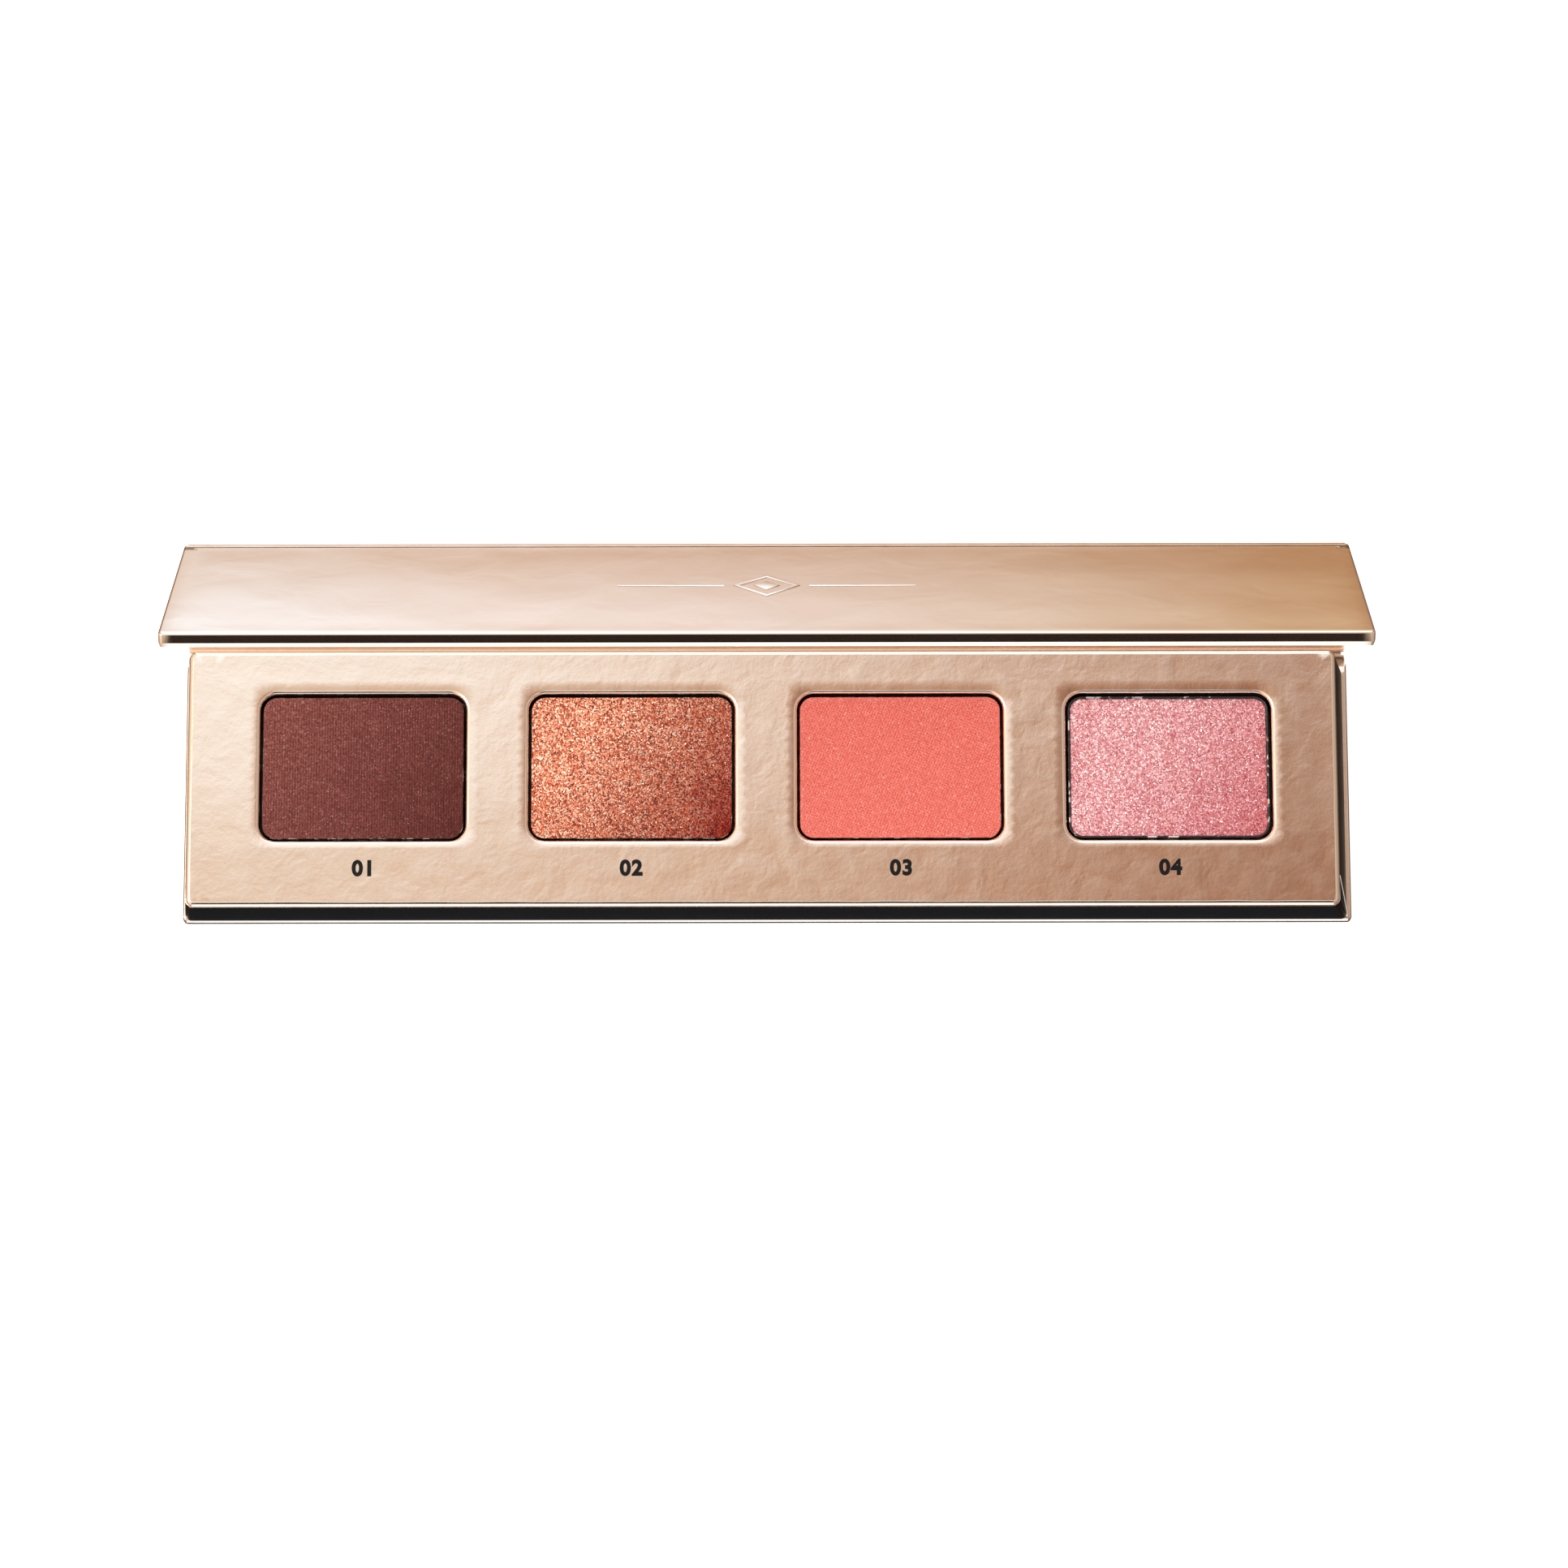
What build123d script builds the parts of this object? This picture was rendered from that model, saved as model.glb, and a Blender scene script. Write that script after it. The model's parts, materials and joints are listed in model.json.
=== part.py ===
"""A slim book-style eyeshadow palette, in millimetres.

Three foil-wrapped boards (base, spine and lid) fold at two paper hinges. A tray of
die-cut boards is glued on the base and holds four tinplate pans of pressed powder.
The palette stands as it is displayed: the spine is swung down behind the tray and the
lid leans forward over it. The origin is the middle of the base's underside, +X runs
along the row of pans, +Y points to the hinge and +Z is up.
"""
import os
from math import cos, radians, sin, sqrt, tan

from build123d import *

# Case
case_length = 120.0
case_depth = 28.4
greyboard = 1.2
foil_paper = 0.2
edge_radius = 0.35
mitre_gap = 0.15
hinge_leaf = 1.2

# Pose in which the palette is displayed
spine_tilt = 32.0
lid_fold = 90.0

# Tray: how far its top stands in from the base's edges, how far its ends flare out below
# the panel, and its layers
trim_left = 1.13
trim_right = 2.03
trim_front = 0.1
flare_left = 0.75
flare_right = 1.48
spine_clearance = 0.3
floor_board_sheet = 2.0
floor_board_count = 2
window_board_sheet = 4.0
panel_card = 0.6
rolled_edge = 0.4
tray_corner = 0.6
lid_clearance = 0.4

# Windows and pans
pan_count = 4
bar_between_windows = 6.36
margin_left = 7.32
margin_right = 6.64
margin_front = 6.7
margin_rear = 4.5
window_corner = 1.7
board_window_relief = 0.3
pan_gap = 0.25
pan_sheet = 0.18
pan_recess = 0.55
pan_foot_radius = 0.4
pan_pad = 0.15
pan_pad_share = 0.7
powder_clearance = 0.02
powder_edge = 0.12
powder_rise = [0.06, 0.06, 0.06, -0.2]

# Lid inner parts
mirror_sheet = 0.7
mirror_pad = 0.1
mirror_recess = 0.1
mirror_side_margin = 9.0
mirror_hinge_margin = 4.0
mirror_to_magnet = 0.9
mirror_corner = 1.5
mirror_clearance = 0.1
turn_in = 1.6
hinge_turn_in = 0.8

# Closure magnets, one pair in the lid and one in the tray
magnet_diameter = 4.0
tray_magnet_height = 2.0
magnet_from_end = 22.0
magnet_clearance = 0.05

# Heights and lengths that follow
board_inside = foil_paper + greyboard
wrapped_board = board_inside + foil_paper
board_length = case_length - 2 * foil_paper
floor_top = wrapped_board + floor_board_count * floor_board_sheet
panel_bottom = floor_top + window_board_sheet
tray_top = panel_bottom + panel_card
spine_height = tray_top + lid_clearance + wrapped_board
mitre_skin = foil_paper * sqrt(2)

# Tray outline and windows that follow
tray_left = -case_length / 2 + trim_left
tray_right = case_length / 2 - trim_right
tray_front = -case_depth / 2 + trim_front
tray_rear = case_depth / 2 - wrapped_board - spine_clearance
tray_length = tray_right - tray_left
tray_depth = tray_rear - tray_front
tray_x = (tray_left + tray_right) / 2
tray_y = (tray_front + tray_rear) / 2
bars = (pan_count - 1) * bar_between_windows
window_length = (tray_length - margin_left - margin_right - bars) / pan_count
window_depth = tray_depth - margin_front - margin_rear
window_pitch = window_length + bar_between_windows
window_x = [tray_left + margin_left + window_length / 2 + i * window_pitch for i in range(pan_count)]
window_y = tray_front + margin_front + window_depth / 2

# Pans that follow
pan_length = window_length - 2 * pan_gap
pan_depth = window_depth - 2 * pan_gap
pan_corner = window_corner - pan_gap
pan_rim = tray_top - pan_recess
pan_bottom = floor_top + pan_pad

# Magnets and mirror that follow: the lid's magnets close onto the tray's
magnet_x = [-case_length / 2 + magnet_from_end, case_length / 2 - magnet_from_end]
magnet_y = tray_front + (margin_front - board_window_relief + foil_paper) / 2
magnet_reach = case_depth / 2 - magnet_y
window_ply_depth = greyboard - (mirror_sheet + mirror_pad + mirror_recess - foil_paper)
mirror_far = magnet_reach - magnet_diameter / 2 - mirror_to_magnet
mirror_depth = mirror_far - mirror_hinge_margin
mirror_length = case_length - 2 * mirror_side_margin
mirror_middle = mirror_hinge_margin + mirror_depth / 2

# Creases: the base folds to the spine at the first, the spine to the lid at the second
base_crease = Vector(0, case_depth / 2, 0)
spine_way = Vector(0, cos(radians(spine_tilt)), sin(radians(spine_tilt)))
lid_crease = base_crease + spine_way * spine_height
lid_angle = spine_tilt + lid_fold
lid_way = Vector(0, cos(radians(lid_angle)), sin(radians(lid_angle)))

# Cross-section planes: x runs along the board from its crease, y from outside to inside
base_section = Plane(origin=base_crease, x_dir=(0, -1, 0), z_dir=(-1, 0, 0))
spine_section = Plane(origin=base_crease, x_dir=spine_way, z_dir=(1, 0, 0))
lid_section = Plane(origin=lid_crease, x_dir=lid_way, z_dir=(1, 0, 0))


def face_plane(section, depth):
    """The plane parallel to a board's face, at a depth below its outer face."""
    inward = section.y_dir
    return Plane(origin=section.origin + inward * depth, x_dir=(1, 0, 0), z_dir=inward)


def mitre(depth, skin=0.0):
    """Distance from the crease to a board's mitred end, at a depth below its outer face."""
    return mitre_gap + depth + skin


def slab(section, low, high, far, skin=0.0, far_mitred=False, length=case_length, mode=Mode.ADD):
    """A layer of a board from its mitred end at the crease to its far end."""
    far_low = far - mitre(low, skin) if far_mitred else far - skin / sqrt(2)
    far_high = far - mitre(high, skin) if far_mitred else far - skin / sqrt(2)
    with BuildSketch(section) as outline:
        with BuildLine():
            Polyline(
                (mitre(low, skin), low),
                (far_low, low),
                (far_high, high),
                (mitre(high, skin), high),
                close=True,
            )
        make_face()
    extrude(outline.sketch, amount=length / 2, both=True, mode=mode)


def plate(plane, length, depth, middle, thickness, corner=0.0, mode=Mode.ADD):
    """A rectangular sheet on a plane, with rounded corners if a radius is given."""
    with BuildSketch(plane) as outline:
        with Locations(middle):
            if corner:
                RectangleRounded(length, depth, corner)
            else:
                Rectangle(length, depth)
    extrude(outline.sketch, amount=thickness, mode=mode)


def discs(plane, places, diameter, thickness, mode=Mode.ADD):
    """Round discs standing on a plane."""
    with BuildSketch(plane) as outline:
        with Locations(*places):
            Circle(diameter / 2)
    extrude(outline.sketch, amount=thickness, mode=mode)


def soften(part, section, far_end):
    """Round the folds of the paper along a board's sides and, if it has one, its free end."""
    along = Axis(section.origin, section.x_dir)
    across = Axis(section.origin, section.y_dir)
    folds = part.edges().filter_by(along)
    if far_end:
        folds += part.edges().filter_by(across)
        folds += part.edges().filter_by(Axis.X).sort_by(along)[-2:]
    fillet(folds, radius=edge_radius)


def hinge_notch(section, start):
    """The seat of a hinge paper's leaf in the outer face of a wrap."""
    plane = face_plane(section, 0)
    middle = (0, start + hinge_leaf / 2)
    plate(plane, board_length, hinge_leaf, middle, foil_paper, mode=Mode.SUBTRACT)


def hinge_profile(first_way, first_in, crease, turn):
    """Corners of a hinge paper's bent strip: its outer fold lies on the crease."""
    second_way = first_way.rotate(Axis.X, turn)
    second_in = first_in.rotate(Axis.X, turn)
    inner_fold = crease - first_way * (foil_paper * tan(radians(turn / 2))) + first_in * foil_paper
    first_end = crease - first_way * hinge_leaf
    second_end = crease + second_way * hinge_leaf
    return [
        first_end,
        crease,
        second_end,
        second_end + second_in * foil_paper,
        inner_fold,
        first_end + first_in * foil_paper,
    ]


def windows(height, thickness, relief, corner):
    """Cut the row of pan windows through a layer of the tray."""
    places = [(x, window_y) for x in window_x]
    with BuildSketch(Plane.XY.offset(height)) as outline:
        with Locations(*places):
            RectangleRounded(window_length + 2 * relief, window_depth + 2 * relief, corner)
    extrude(outline.sketch, amount=thickness, mode=Mode.SUBTRACT)


def flare(height):
    """Share of the full flare that the tray's ends have at a height: all of it at the foot."""
    return max(0, (panel_bottom - height) / (panel_bottom - wrapped_board))


def tray_layer(height, thickness, inset, corner, mode=Mode.ADD):
    """A layer of the tray, set in from its outer outline, with the tray's leaning ends."""
    top = height + thickness
    with BuildPart(mode=Mode.PRIVATE) as layer:
        with BuildSketch(Plane.XZ.offset(-tray_y)) as outline:
            with BuildLine():
                Polyline(
                    (tray_left - flare_left * flare(height) + inset, height),
                    (tray_right + flare_right * flare(height) - inset, height),
                    (tray_right + flare_right * flare(top) - inset, top),
                    (tray_left - flare_left * flare(top) + inset, top),
                    close=True,
                )
            make_face()
        extrude(outline.sketch, amount=tray_depth / 2 - inset, both=True)
        uprights = layer.edges().filter_by(lambda edge: abs(edge.tangent_at(0).Z) > 0.9)
        fillet(uprights, radius=corner)
    add(layer.part, mode=mode)


def save(piece, name):
    """Label a finished piece and write its STEP file."""
    piece.part.label = name
    export_step(piece.part, f"parts/{name}.step")


os.makedirs("parts", exist_ok=True)

# --- Base board and its foil paper ---------------------------------------------------
seat_inset = turn_in + trim_front
seat_length = tray_length - 2 * seat_inset
seat_depth = tray_depth - 2 * seat_inset

with BuildPart() as base_board:
    slab(base_section, foil_paper, board_inside, case_depth, mitre_skin, length=board_length)
save(base_board, "base_board")

with BuildPart() as base_wrap:
    slab(base_section, 0, wrapped_board, case_depth)
    soften(base_wrap, base_section, far_end=True)
    slab(
        base_section, foil_paper, board_inside, case_depth, mitre_skin,
        length=board_length, mode=Mode.SUBTRACT,
    )
    plate(
        Plane.XY.offset(board_inside), seat_length, seat_depth, (tray_x, tray_y), foil_paper,
        mode=Mode.SUBTRACT,
    )
    notch_middle = (0, case_depth / 2 - hinge_leaf / 2)
    plate(
        Plane.XY, board_length, hinge_leaf, notch_middle, foil_paper,
        mode=Mode.SUBTRACT,
    )
save(base_wrap, "base_wrap")

with BuildPart() as tray_glue_sheet:
    plate(Plane.XY.offset(board_inside), seat_length, seat_depth, (tray_x, tray_y), foil_paper)
save(tray_glue_sheet, "tray_glue_sheet")

# --- Tray: solid floor boards, one board with windows, side paper and top panel --------
for number in range(floor_board_count):
    with BuildPart() as floor_board:
        board_bottom = wrapped_board + number * floor_board_sheet
        tray_layer(board_bottom, floor_board_sheet, foil_paper, tray_corner - foil_paper)
    save(floor_board, f"tray_floor_board_{number + 1}")

tray_magnets_at = [(x, magnet_y) for x in magnet_x]
magnet_seat = Plane.XY.offset(panel_bottom - tray_magnet_height)

with BuildPart() as tray_window_board:
    tray_layer(floor_top, window_board_sheet, foil_paper, tray_corner - foil_paper)
    windows(floor_top, window_board_sheet, board_window_relief, window_corner + board_window_relief)
    discs(
        magnet_seat, tray_magnets_at, magnet_diameter + 2 * magnet_clearance, tray_magnet_height,
        Mode.SUBTRACT,
    )
save(tray_window_board, "tray_window_board")

with BuildPart() as tray_magnets:
    discs(magnet_seat, tray_magnets_at, magnet_diameter, tray_magnet_height)
save(tray_magnets, "tray_magnets")

with BuildPart() as tray_side_wrap:
    wall_height = panel_bottom - wrapped_board
    tray_layer(wrapped_board, wall_height, 0, tray_corner)
    tray_layer(wrapped_board, wall_height, foil_paper, tray_corner - foil_paper, Mode.SUBTRACT)
save(tray_side_wrap, "tray_side_wrap")

with BuildPart() as tray_panel:
    tray_layer(panel_bottom, panel_card, 0, tray_corner)
    windows(panel_bottom, panel_card, 0, window_corner)
    fillet(tray_panel.faces().sort_by(Axis.Z)[-1].edges(), radius=rolled_edge)
save(tray_panel, "tray_panel")

# --- Pans, their glue pads and the pressed powders -------------------------------------
for number in range(pan_count):
    middle = (window_x[number], window_y)
    pan_inner = pan_corner - pan_sheet

    with BuildPart() as pan:
        plate(
            Plane.XY.offset(pan_bottom), pan_length, pan_depth, middle, pan_rim - pan_bottom,
            pan_corner,
        )
        fillet(pan.faces().sort_by(Axis.Z)[0].edges(), radius=pan_foot_radius)
        plate(
            Plane.XY.offset(pan_bottom + pan_sheet), pan_length - 2 * pan_sheet,
            pan_depth - 2 * pan_sheet, middle, pan_rim - pan_bottom - pan_sheet, pan_inner,
            Mode.SUBTRACT,
        )
    save(pan, f"pan_{number + 1}")

    with BuildPart() as pad:
        plate(
            Plane.XY.offset(floor_top), pan_length * pan_pad_share, pan_depth * pan_pad_share, middle,
            pan_pad, pan_corner,
        )
    save(pad, f"pan_pad_{number + 1}")

    with BuildPart() as powder:
        cake_bottom = pan_bottom + pan_sheet
        cake_top = pan_rim + powder_rise[number]
        inset = pan_sheet + powder_clearance
        plate(
            Plane.XY.offset(cake_bottom), pan_length - 2 * inset, pan_depth - 2 * inset, middle,
            cake_top - cake_bottom, pan_corner - inset,
        )
        fillet(powder.faces().sort_by(Axis.Z)[-1].edges(), radius=powder_edge)
    save(powder, f"powder_{number + 1}")

# --- Spine -------------------------------------------------------------------------------
spine_liner_depth = spine_height - 2 * (mitre(wrapped_board) + hinge_turn_in)
spine_liner_length = case_length - 2 * turn_in

with BuildPart() as spine_board:
    slab(
        spine_section, foil_paper, board_inside, spine_height, mitre_skin, far_mitred=True,
        length=board_length,
    )
save(spine_board, "spine_board")

with BuildPart() as spine_wrap:
    slab(spine_section, 0, wrapped_board, spine_height, far_mitred=True)
    soften(spine_wrap, spine_section, far_end=False)
    slab(
        spine_section, foil_paper, board_inside, spine_height, mitre_skin, far_mitred=True,
        length=board_length, mode=Mode.SUBTRACT,
    )
    plate(
        face_plane(spine_section, board_inside), spine_liner_length, spine_liner_depth,
        (0, spine_height / 2), foil_paper, mode=Mode.SUBTRACT,
    )
    hinge_notch(spine_section, 0)
    hinge_notch(spine_section, spine_height - hinge_leaf)
save(spine_wrap, "spine_wrap")

with BuildPart() as spine_liner:
    plate(
        face_plane(spine_section, board_inside), spine_liner_length, spine_liner_depth,
        (0, spine_height / 2), foil_paper,
    )
save(spine_liner, "spine_liner")

# --- Hinge papers, drawn bent as they are in the displayed pose ---------------------------
hinge_papers = {
    "lower_hinge_paper": (Vector(0, 1, 0), Vector(0, 0, 1), base_crease, spine_tilt),
    "upper_hinge_paper": (spine_way, spine_section.y_dir, lid_crease, lid_fold),
}
for name, (way, inward, crease, turn) in hinge_papers.items():
    corners = [Plane.YZ.to_local_coords(corner) for corner in hinge_profile(way, inward, crease, turn)]
    with BuildPart() as hinge_paper:
        with BuildSketch(Plane.YZ):
            with BuildLine():
                Polyline(*corners, close=True)
            make_face()
        extrude(amount=board_length / 2, both=True)
    save(hinge_paper, name)

# --- Lid: outer board, inner board with the mirror's window, paper, liner, mirror ---------
lid_step = foil_paper + window_ply_depth
lid_magnets_at = [(x, magnet_reach) for x in magnet_x]
mirror_at = (0, mirror_middle)
liner_near = mitre(wrapped_board) + hinge_turn_in
liner_far = case_depth - turn_in
lid_liner_depth = liner_far - liner_near
lid_liner_at = (0, (liner_near + liner_far) / 2)

with BuildPart() as lid_board:
    slab(lid_section, foil_paper, lid_step, case_depth, mitre_skin, length=board_length)
save(lid_board, "lid_board")

with BuildPart() as lid_window_board:
    slab(lid_section, lid_step, board_inside, case_depth, mitre_skin, length=board_length)
    plate(
        face_plane(lid_section, lid_step), mirror_length + 2 * mirror_clearance,
        mirror_depth + 2 * mirror_clearance, mirror_at, greyboard, mirror_corner + mirror_clearance,
        Mode.SUBTRACT,
    )
    discs(
        face_plane(lid_section, lid_step), lid_magnets_at, magnet_diameter + 2 * magnet_clearance,
        greyboard, Mode.SUBTRACT,
    )
save(lid_window_board, "lid_window_board")

with BuildPart() as lid_wrap:
    slab(lid_section, 0, wrapped_board, case_depth)
    soften(lid_wrap, lid_section, far_end=True)
    slab(
        lid_section, foil_paper, board_inside, case_depth, mitre_skin,
        length=board_length, mode=Mode.SUBTRACT,
    )
    plate(
        face_plane(lid_section, board_inside), case_length - 2 * turn_in, lid_liner_depth, lid_liner_at,
        foil_paper, mode=Mode.SUBTRACT,
    )
    hinge_notch(lid_section, 0)
save(lid_wrap, "lid_wrap")

with BuildPart() as lid_liner:
    plate(
        face_plane(lid_section, board_inside), case_length - 2 * turn_in, lid_liner_depth, lid_liner_at,
        foil_paper,
    )
    plate(
        face_plane(lid_section, board_inside), mirror_length + 2 * mirror_clearance,
        mirror_depth + 2 * mirror_clearance, mirror_at, foil_paper, mirror_corner + mirror_clearance,
        Mode.SUBTRACT,
    )
save(lid_liner, "lid_liner")

with BuildPart() as lid_mirror_pad:
    plate(
        face_plane(lid_section, lid_step), mirror_length, mirror_depth, mirror_at, mirror_pad,
        mirror_corner,
    )
save(lid_mirror_pad, "lid_mirror_pad")

with BuildPart() as lid_mirror:
    plate(
        face_plane(lid_section, lid_step + mirror_pad), mirror_length, mirror_depth, mirror_at,
        mirror_sheet, mirror_corner,
    )
save(lid_mirror, "lid_mirror")

with BuildPart() as lid_magnets:
    discs(face_plane(lid_section, lid_step), lid_magnets_at, magnet_diameter, board_inside - lid_step)
save(lid_magnets, "lid_magnets")
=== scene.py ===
"""Looks of a slim foil-wrapped eyeshadow palette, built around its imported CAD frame.

Sizes inside the classes are in millimetres. Meshes are written in metres, in the
frame of the CAD model: +X runs along the row of pans, +Y points to the hinge, +Z is up.
"""

import json
import logging
import math
from dataclasses import dataclass
from enum import Enum
from functools import cache
from typing import Any, Callable, Iterable, Sequence

import bmesh
import bpy
from mathutils import Matrix, Vector, noise
from mathutils.geometry import delaunay_2d_cdt

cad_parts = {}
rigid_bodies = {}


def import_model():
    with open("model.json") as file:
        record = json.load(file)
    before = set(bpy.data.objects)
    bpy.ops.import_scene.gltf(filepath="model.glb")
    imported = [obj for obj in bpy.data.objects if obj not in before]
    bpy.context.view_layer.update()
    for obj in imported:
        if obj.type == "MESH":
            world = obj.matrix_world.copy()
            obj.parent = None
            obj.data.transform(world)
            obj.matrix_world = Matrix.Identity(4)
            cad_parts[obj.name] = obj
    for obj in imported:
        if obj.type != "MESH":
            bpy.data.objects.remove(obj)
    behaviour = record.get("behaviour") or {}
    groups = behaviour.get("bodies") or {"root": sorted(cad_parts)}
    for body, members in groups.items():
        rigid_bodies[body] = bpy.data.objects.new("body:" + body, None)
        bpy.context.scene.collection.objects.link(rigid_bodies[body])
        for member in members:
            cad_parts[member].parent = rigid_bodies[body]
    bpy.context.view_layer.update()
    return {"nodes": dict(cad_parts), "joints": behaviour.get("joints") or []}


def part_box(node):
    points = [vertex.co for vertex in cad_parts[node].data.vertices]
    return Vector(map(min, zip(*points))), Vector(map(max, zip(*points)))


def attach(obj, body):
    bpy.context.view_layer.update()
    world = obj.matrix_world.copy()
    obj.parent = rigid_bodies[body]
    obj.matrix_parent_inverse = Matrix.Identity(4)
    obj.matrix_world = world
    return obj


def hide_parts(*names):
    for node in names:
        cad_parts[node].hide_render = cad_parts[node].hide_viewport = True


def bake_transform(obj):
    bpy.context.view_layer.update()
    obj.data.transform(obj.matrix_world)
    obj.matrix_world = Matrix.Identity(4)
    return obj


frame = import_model()

MM = 0.001
SPINE_TURN = 32.0
LID_TURN = 90.0
LOG = logging.getLogger("palette")

Flat = tuple[float, float]
Point = tuple[float, float, float]
Colour = tuple[float, float, float]


# --- Node helpers ------------------------------------------------------------------------


def add_node(tree: Any, kind: str, sockets: dict[Any, Any] | None = None, **options: Any) -> Any:
    """Add a node to a tree, set its options and fill its inputs.

    Args:
        tree: Node tree that gets the node.
        kind: Node type.
        sockets: Input name or index to a value, or to an output to link from.
        options: Settings of the node itself.

    Returns:
        The new node.
    """
    made = tree.nodes.new(kind)
    for key, value in options.items():
        setattr(made, key, value)
    for key, value in (sockets or {}).items():
        if isinstance(value, bpy.types.NodeSocket):
            tree.links.new(value, made.inputs[key])
        else:
            made.inputs[key].default_value = value
    return made


def calc(tree: Any, operation: str, *values: Any) -> Any:
    """Add a math node on numbers or outputs and give its output."""
    return add_node(tree, "ShaderNodeMath", dict(enumerate(values)), operation=operation).outputs[0]


def scaled(tree: Any, vector: Any, amount: Any) -> Any:
    """Multiply a vector or colour by a number."""
    sockets = {0: vector, "Scale": amount}
    return add_node(tree, "ShaderNodeVectorMath", sockets, operation="SCALE").outputs[0]


def ramp(tree: Any, factor: Any, stops: Sequence[tuple[float, Sequence[float]]]) -> Any:
    """Add a colour ramp.

    Args:
        tree: Node tree that gets the node.
        factor: Output that drives the ramp.
        stops: Positions and colours, in rising order.

    Returns:
        The ramp's colour output.
    """
    made = add_node(tree, "ShaderNodeValToRGB", {0: factor})
    elements = made.color_ramp.elements
    while len(elements) < len(stops):
        elements.new(0.5)
    for element, (place, colour) in zip(elements, stops):
        element.position = place
        element.color = (*colour[:3], 1.0)
    return made.outputs[0]


def mix(tree: Any, factor: Any, first: Any, second: Any, blend: str = "MIX") -> Any:
    """Mix two colours, each given as numbers or as an output.

    Args:
        tree: Node tree that gets the node.
        factor: Share of the second colour.
        first: First colour.
        second: Second colour.
        blend: Name of the blend mode.

    Returns:
        The mixed colour's output.
    """
    first, second = ((*c, 1.0) if isinstance(c, tuple) else c for c in (first, second))
    return add_node(
        tree, "ShaderNodeMix", {0: factor, 6: first, 7: second}, data_type="RGBA", blend_type=blend
    ).outputs[2]


def fit_range(
    tree: Any, value: Any, low: float, high: float, first: float = 0.0, last: float = 1.0,
) -> Any:
    """Map a value from one range to another, held at both ends."""
    return add_node(
        tree, "ShaderNodeMapRange", {0: value, 1: low, 2: high, 3: first, 4: last}
    ).outputs[0]


def object_place(tree: Any) -> Any:
    """The shaded point in the object's own coordinates."""
    return add_node(tree, "ShaderNodeTexCoord").outputs["Object"]


def cloud(tree: Any, place: Any, scale: Any, detail: float, **more: float) -> Any:
    """Add a noise texture and give its strength."""
    sockets = {"Vector": place, "Scale": scale, "Detail": detail, **more}
    return add_node(tree, "ShaderNodeTexNoise", sockets).outputs[0]


def open_group(name: str, inputs: dict[str, float]) -> tuple[Any, Any]:
    """Start a shader node group with number inputs.

    Args:
        name: Name of the group.
        inputs: Input names and their usual values.

    Returns:
        The group's tree and the outputs that give its inputs.
    """
    tree = bpy.data.node_groups.new(name, "ShaderNodeTree")
    for label, value in inputs.items():
        socket = tree.interface.new_socket(label, in_out="INPUT", socket_type="NodeSocketFloat")
        socket.default_value = value
    return tree, tree.nodes.new("NodeGroupInput").outputs


def close_group(tree: Any, results: dict[str, Any]) -> Any:
    """End a shader node group with the numbers that it gives out."""
    for label in results:
        tree.interface.new_socket(label, in_out="OUTPUT", socket_type="NodeSocketFloat")
    add_node(tree, "NodeGroupOutput", results)
    return tree


class Effects:
    """Surface effects that several finishes share, each a node group built once."""

    @staticmethod
    @cache
    def hammered() -> Any:
        """Soft hammered waves and a finer orange peel of foil pressed on paper."""
        tree, given = open_group(
            "hammered_foil", {"Wave scale": 420.0, "Peel scale": 2200.0, "Peel share": 0.3}
        )
        place = object_place(tree)
        lean = add_node(
            tree, "ShaderNodeMapping", {"Vector": place, "Rotation": (0.0, 0.0, math.radians(24))}
        )
        wave = cloud(
            tree, lean.outputs[0], given["Wave scale"], 2.0, Roughness=0.45, Distortion=0.6
        )
        peel = cloud(tree, place, given["Peel scale"], 2.0, Roughness=0.6)
        height = calc(tree, "MULTIPLY_ADD", peel, given["Peel share"], wave)
        return close_group(tree, {"Tone": wave, "Height": height})

    @staticmethod
    @cache
    def fibre() -> Any:
        """Short flecks of board and paper pulp."""
        tree, given = open_group("paper_fibre", {"Scale": 1500.0})
        place = object_place(tree)
        long = add_node(tree, "ShaderNodeMapping", {"Vector": place, "Scale": (0.25, 1.0, 1.0)})
        fleck = cloud(tree, long.outputs[0], given["Scale"], 4.0, Roughness=0.7)
        return close_group(tree, {"Tone": fleck, "Height": cloud(tree, place, given["Scale"], 3.0)})

    @staticmethod
    @cache
    def grains() -> Any:
        """Pressed grains: two random numbers each, their rounded height and a slow drift."""
        tree, given = open_group("pressed_grains", {"Grain scale": 7500.0, "Cloud scale": 300.0})
        place = object_place(tree)
        cell = add_node(
            tree, "ShaderNodeTexVoronoi", {"Vector": place, "Scale": given["Grain scale"]}
        ).outputs
        parts = add_node(tree, "ShaderNodeSeparateColor", {0: cell["Color"]}).outputs
        return close_group(tree, {
            "Grain": parts[0], "Second": parts[1],
            "Height": calc(tree, "SUBTRACT", parts[2], cell["Distance"]),
            "Cloud": cloud(tree, place, given["Cloud scale"], 3.0),
        })


def place_effect(tree: Any, effect: Any, **values: float) -> Any:
    """Put a shared effect in a material.

    Args:
        tree: Node tree of the material.
        effect: Node group of the effect.
        values: Input values, with underscores for spaces.

    Returns:
        The effect's outputs.
    """
    made = add_node(tree, "ShaderNodeGroup", node_tree=effect)
    for key, value in values.items():
        made.inputs[key.replace("_", " ")].default_value = value
    return made.outputs


# --- Finishes ----------------------------------------------------------------------------


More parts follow.
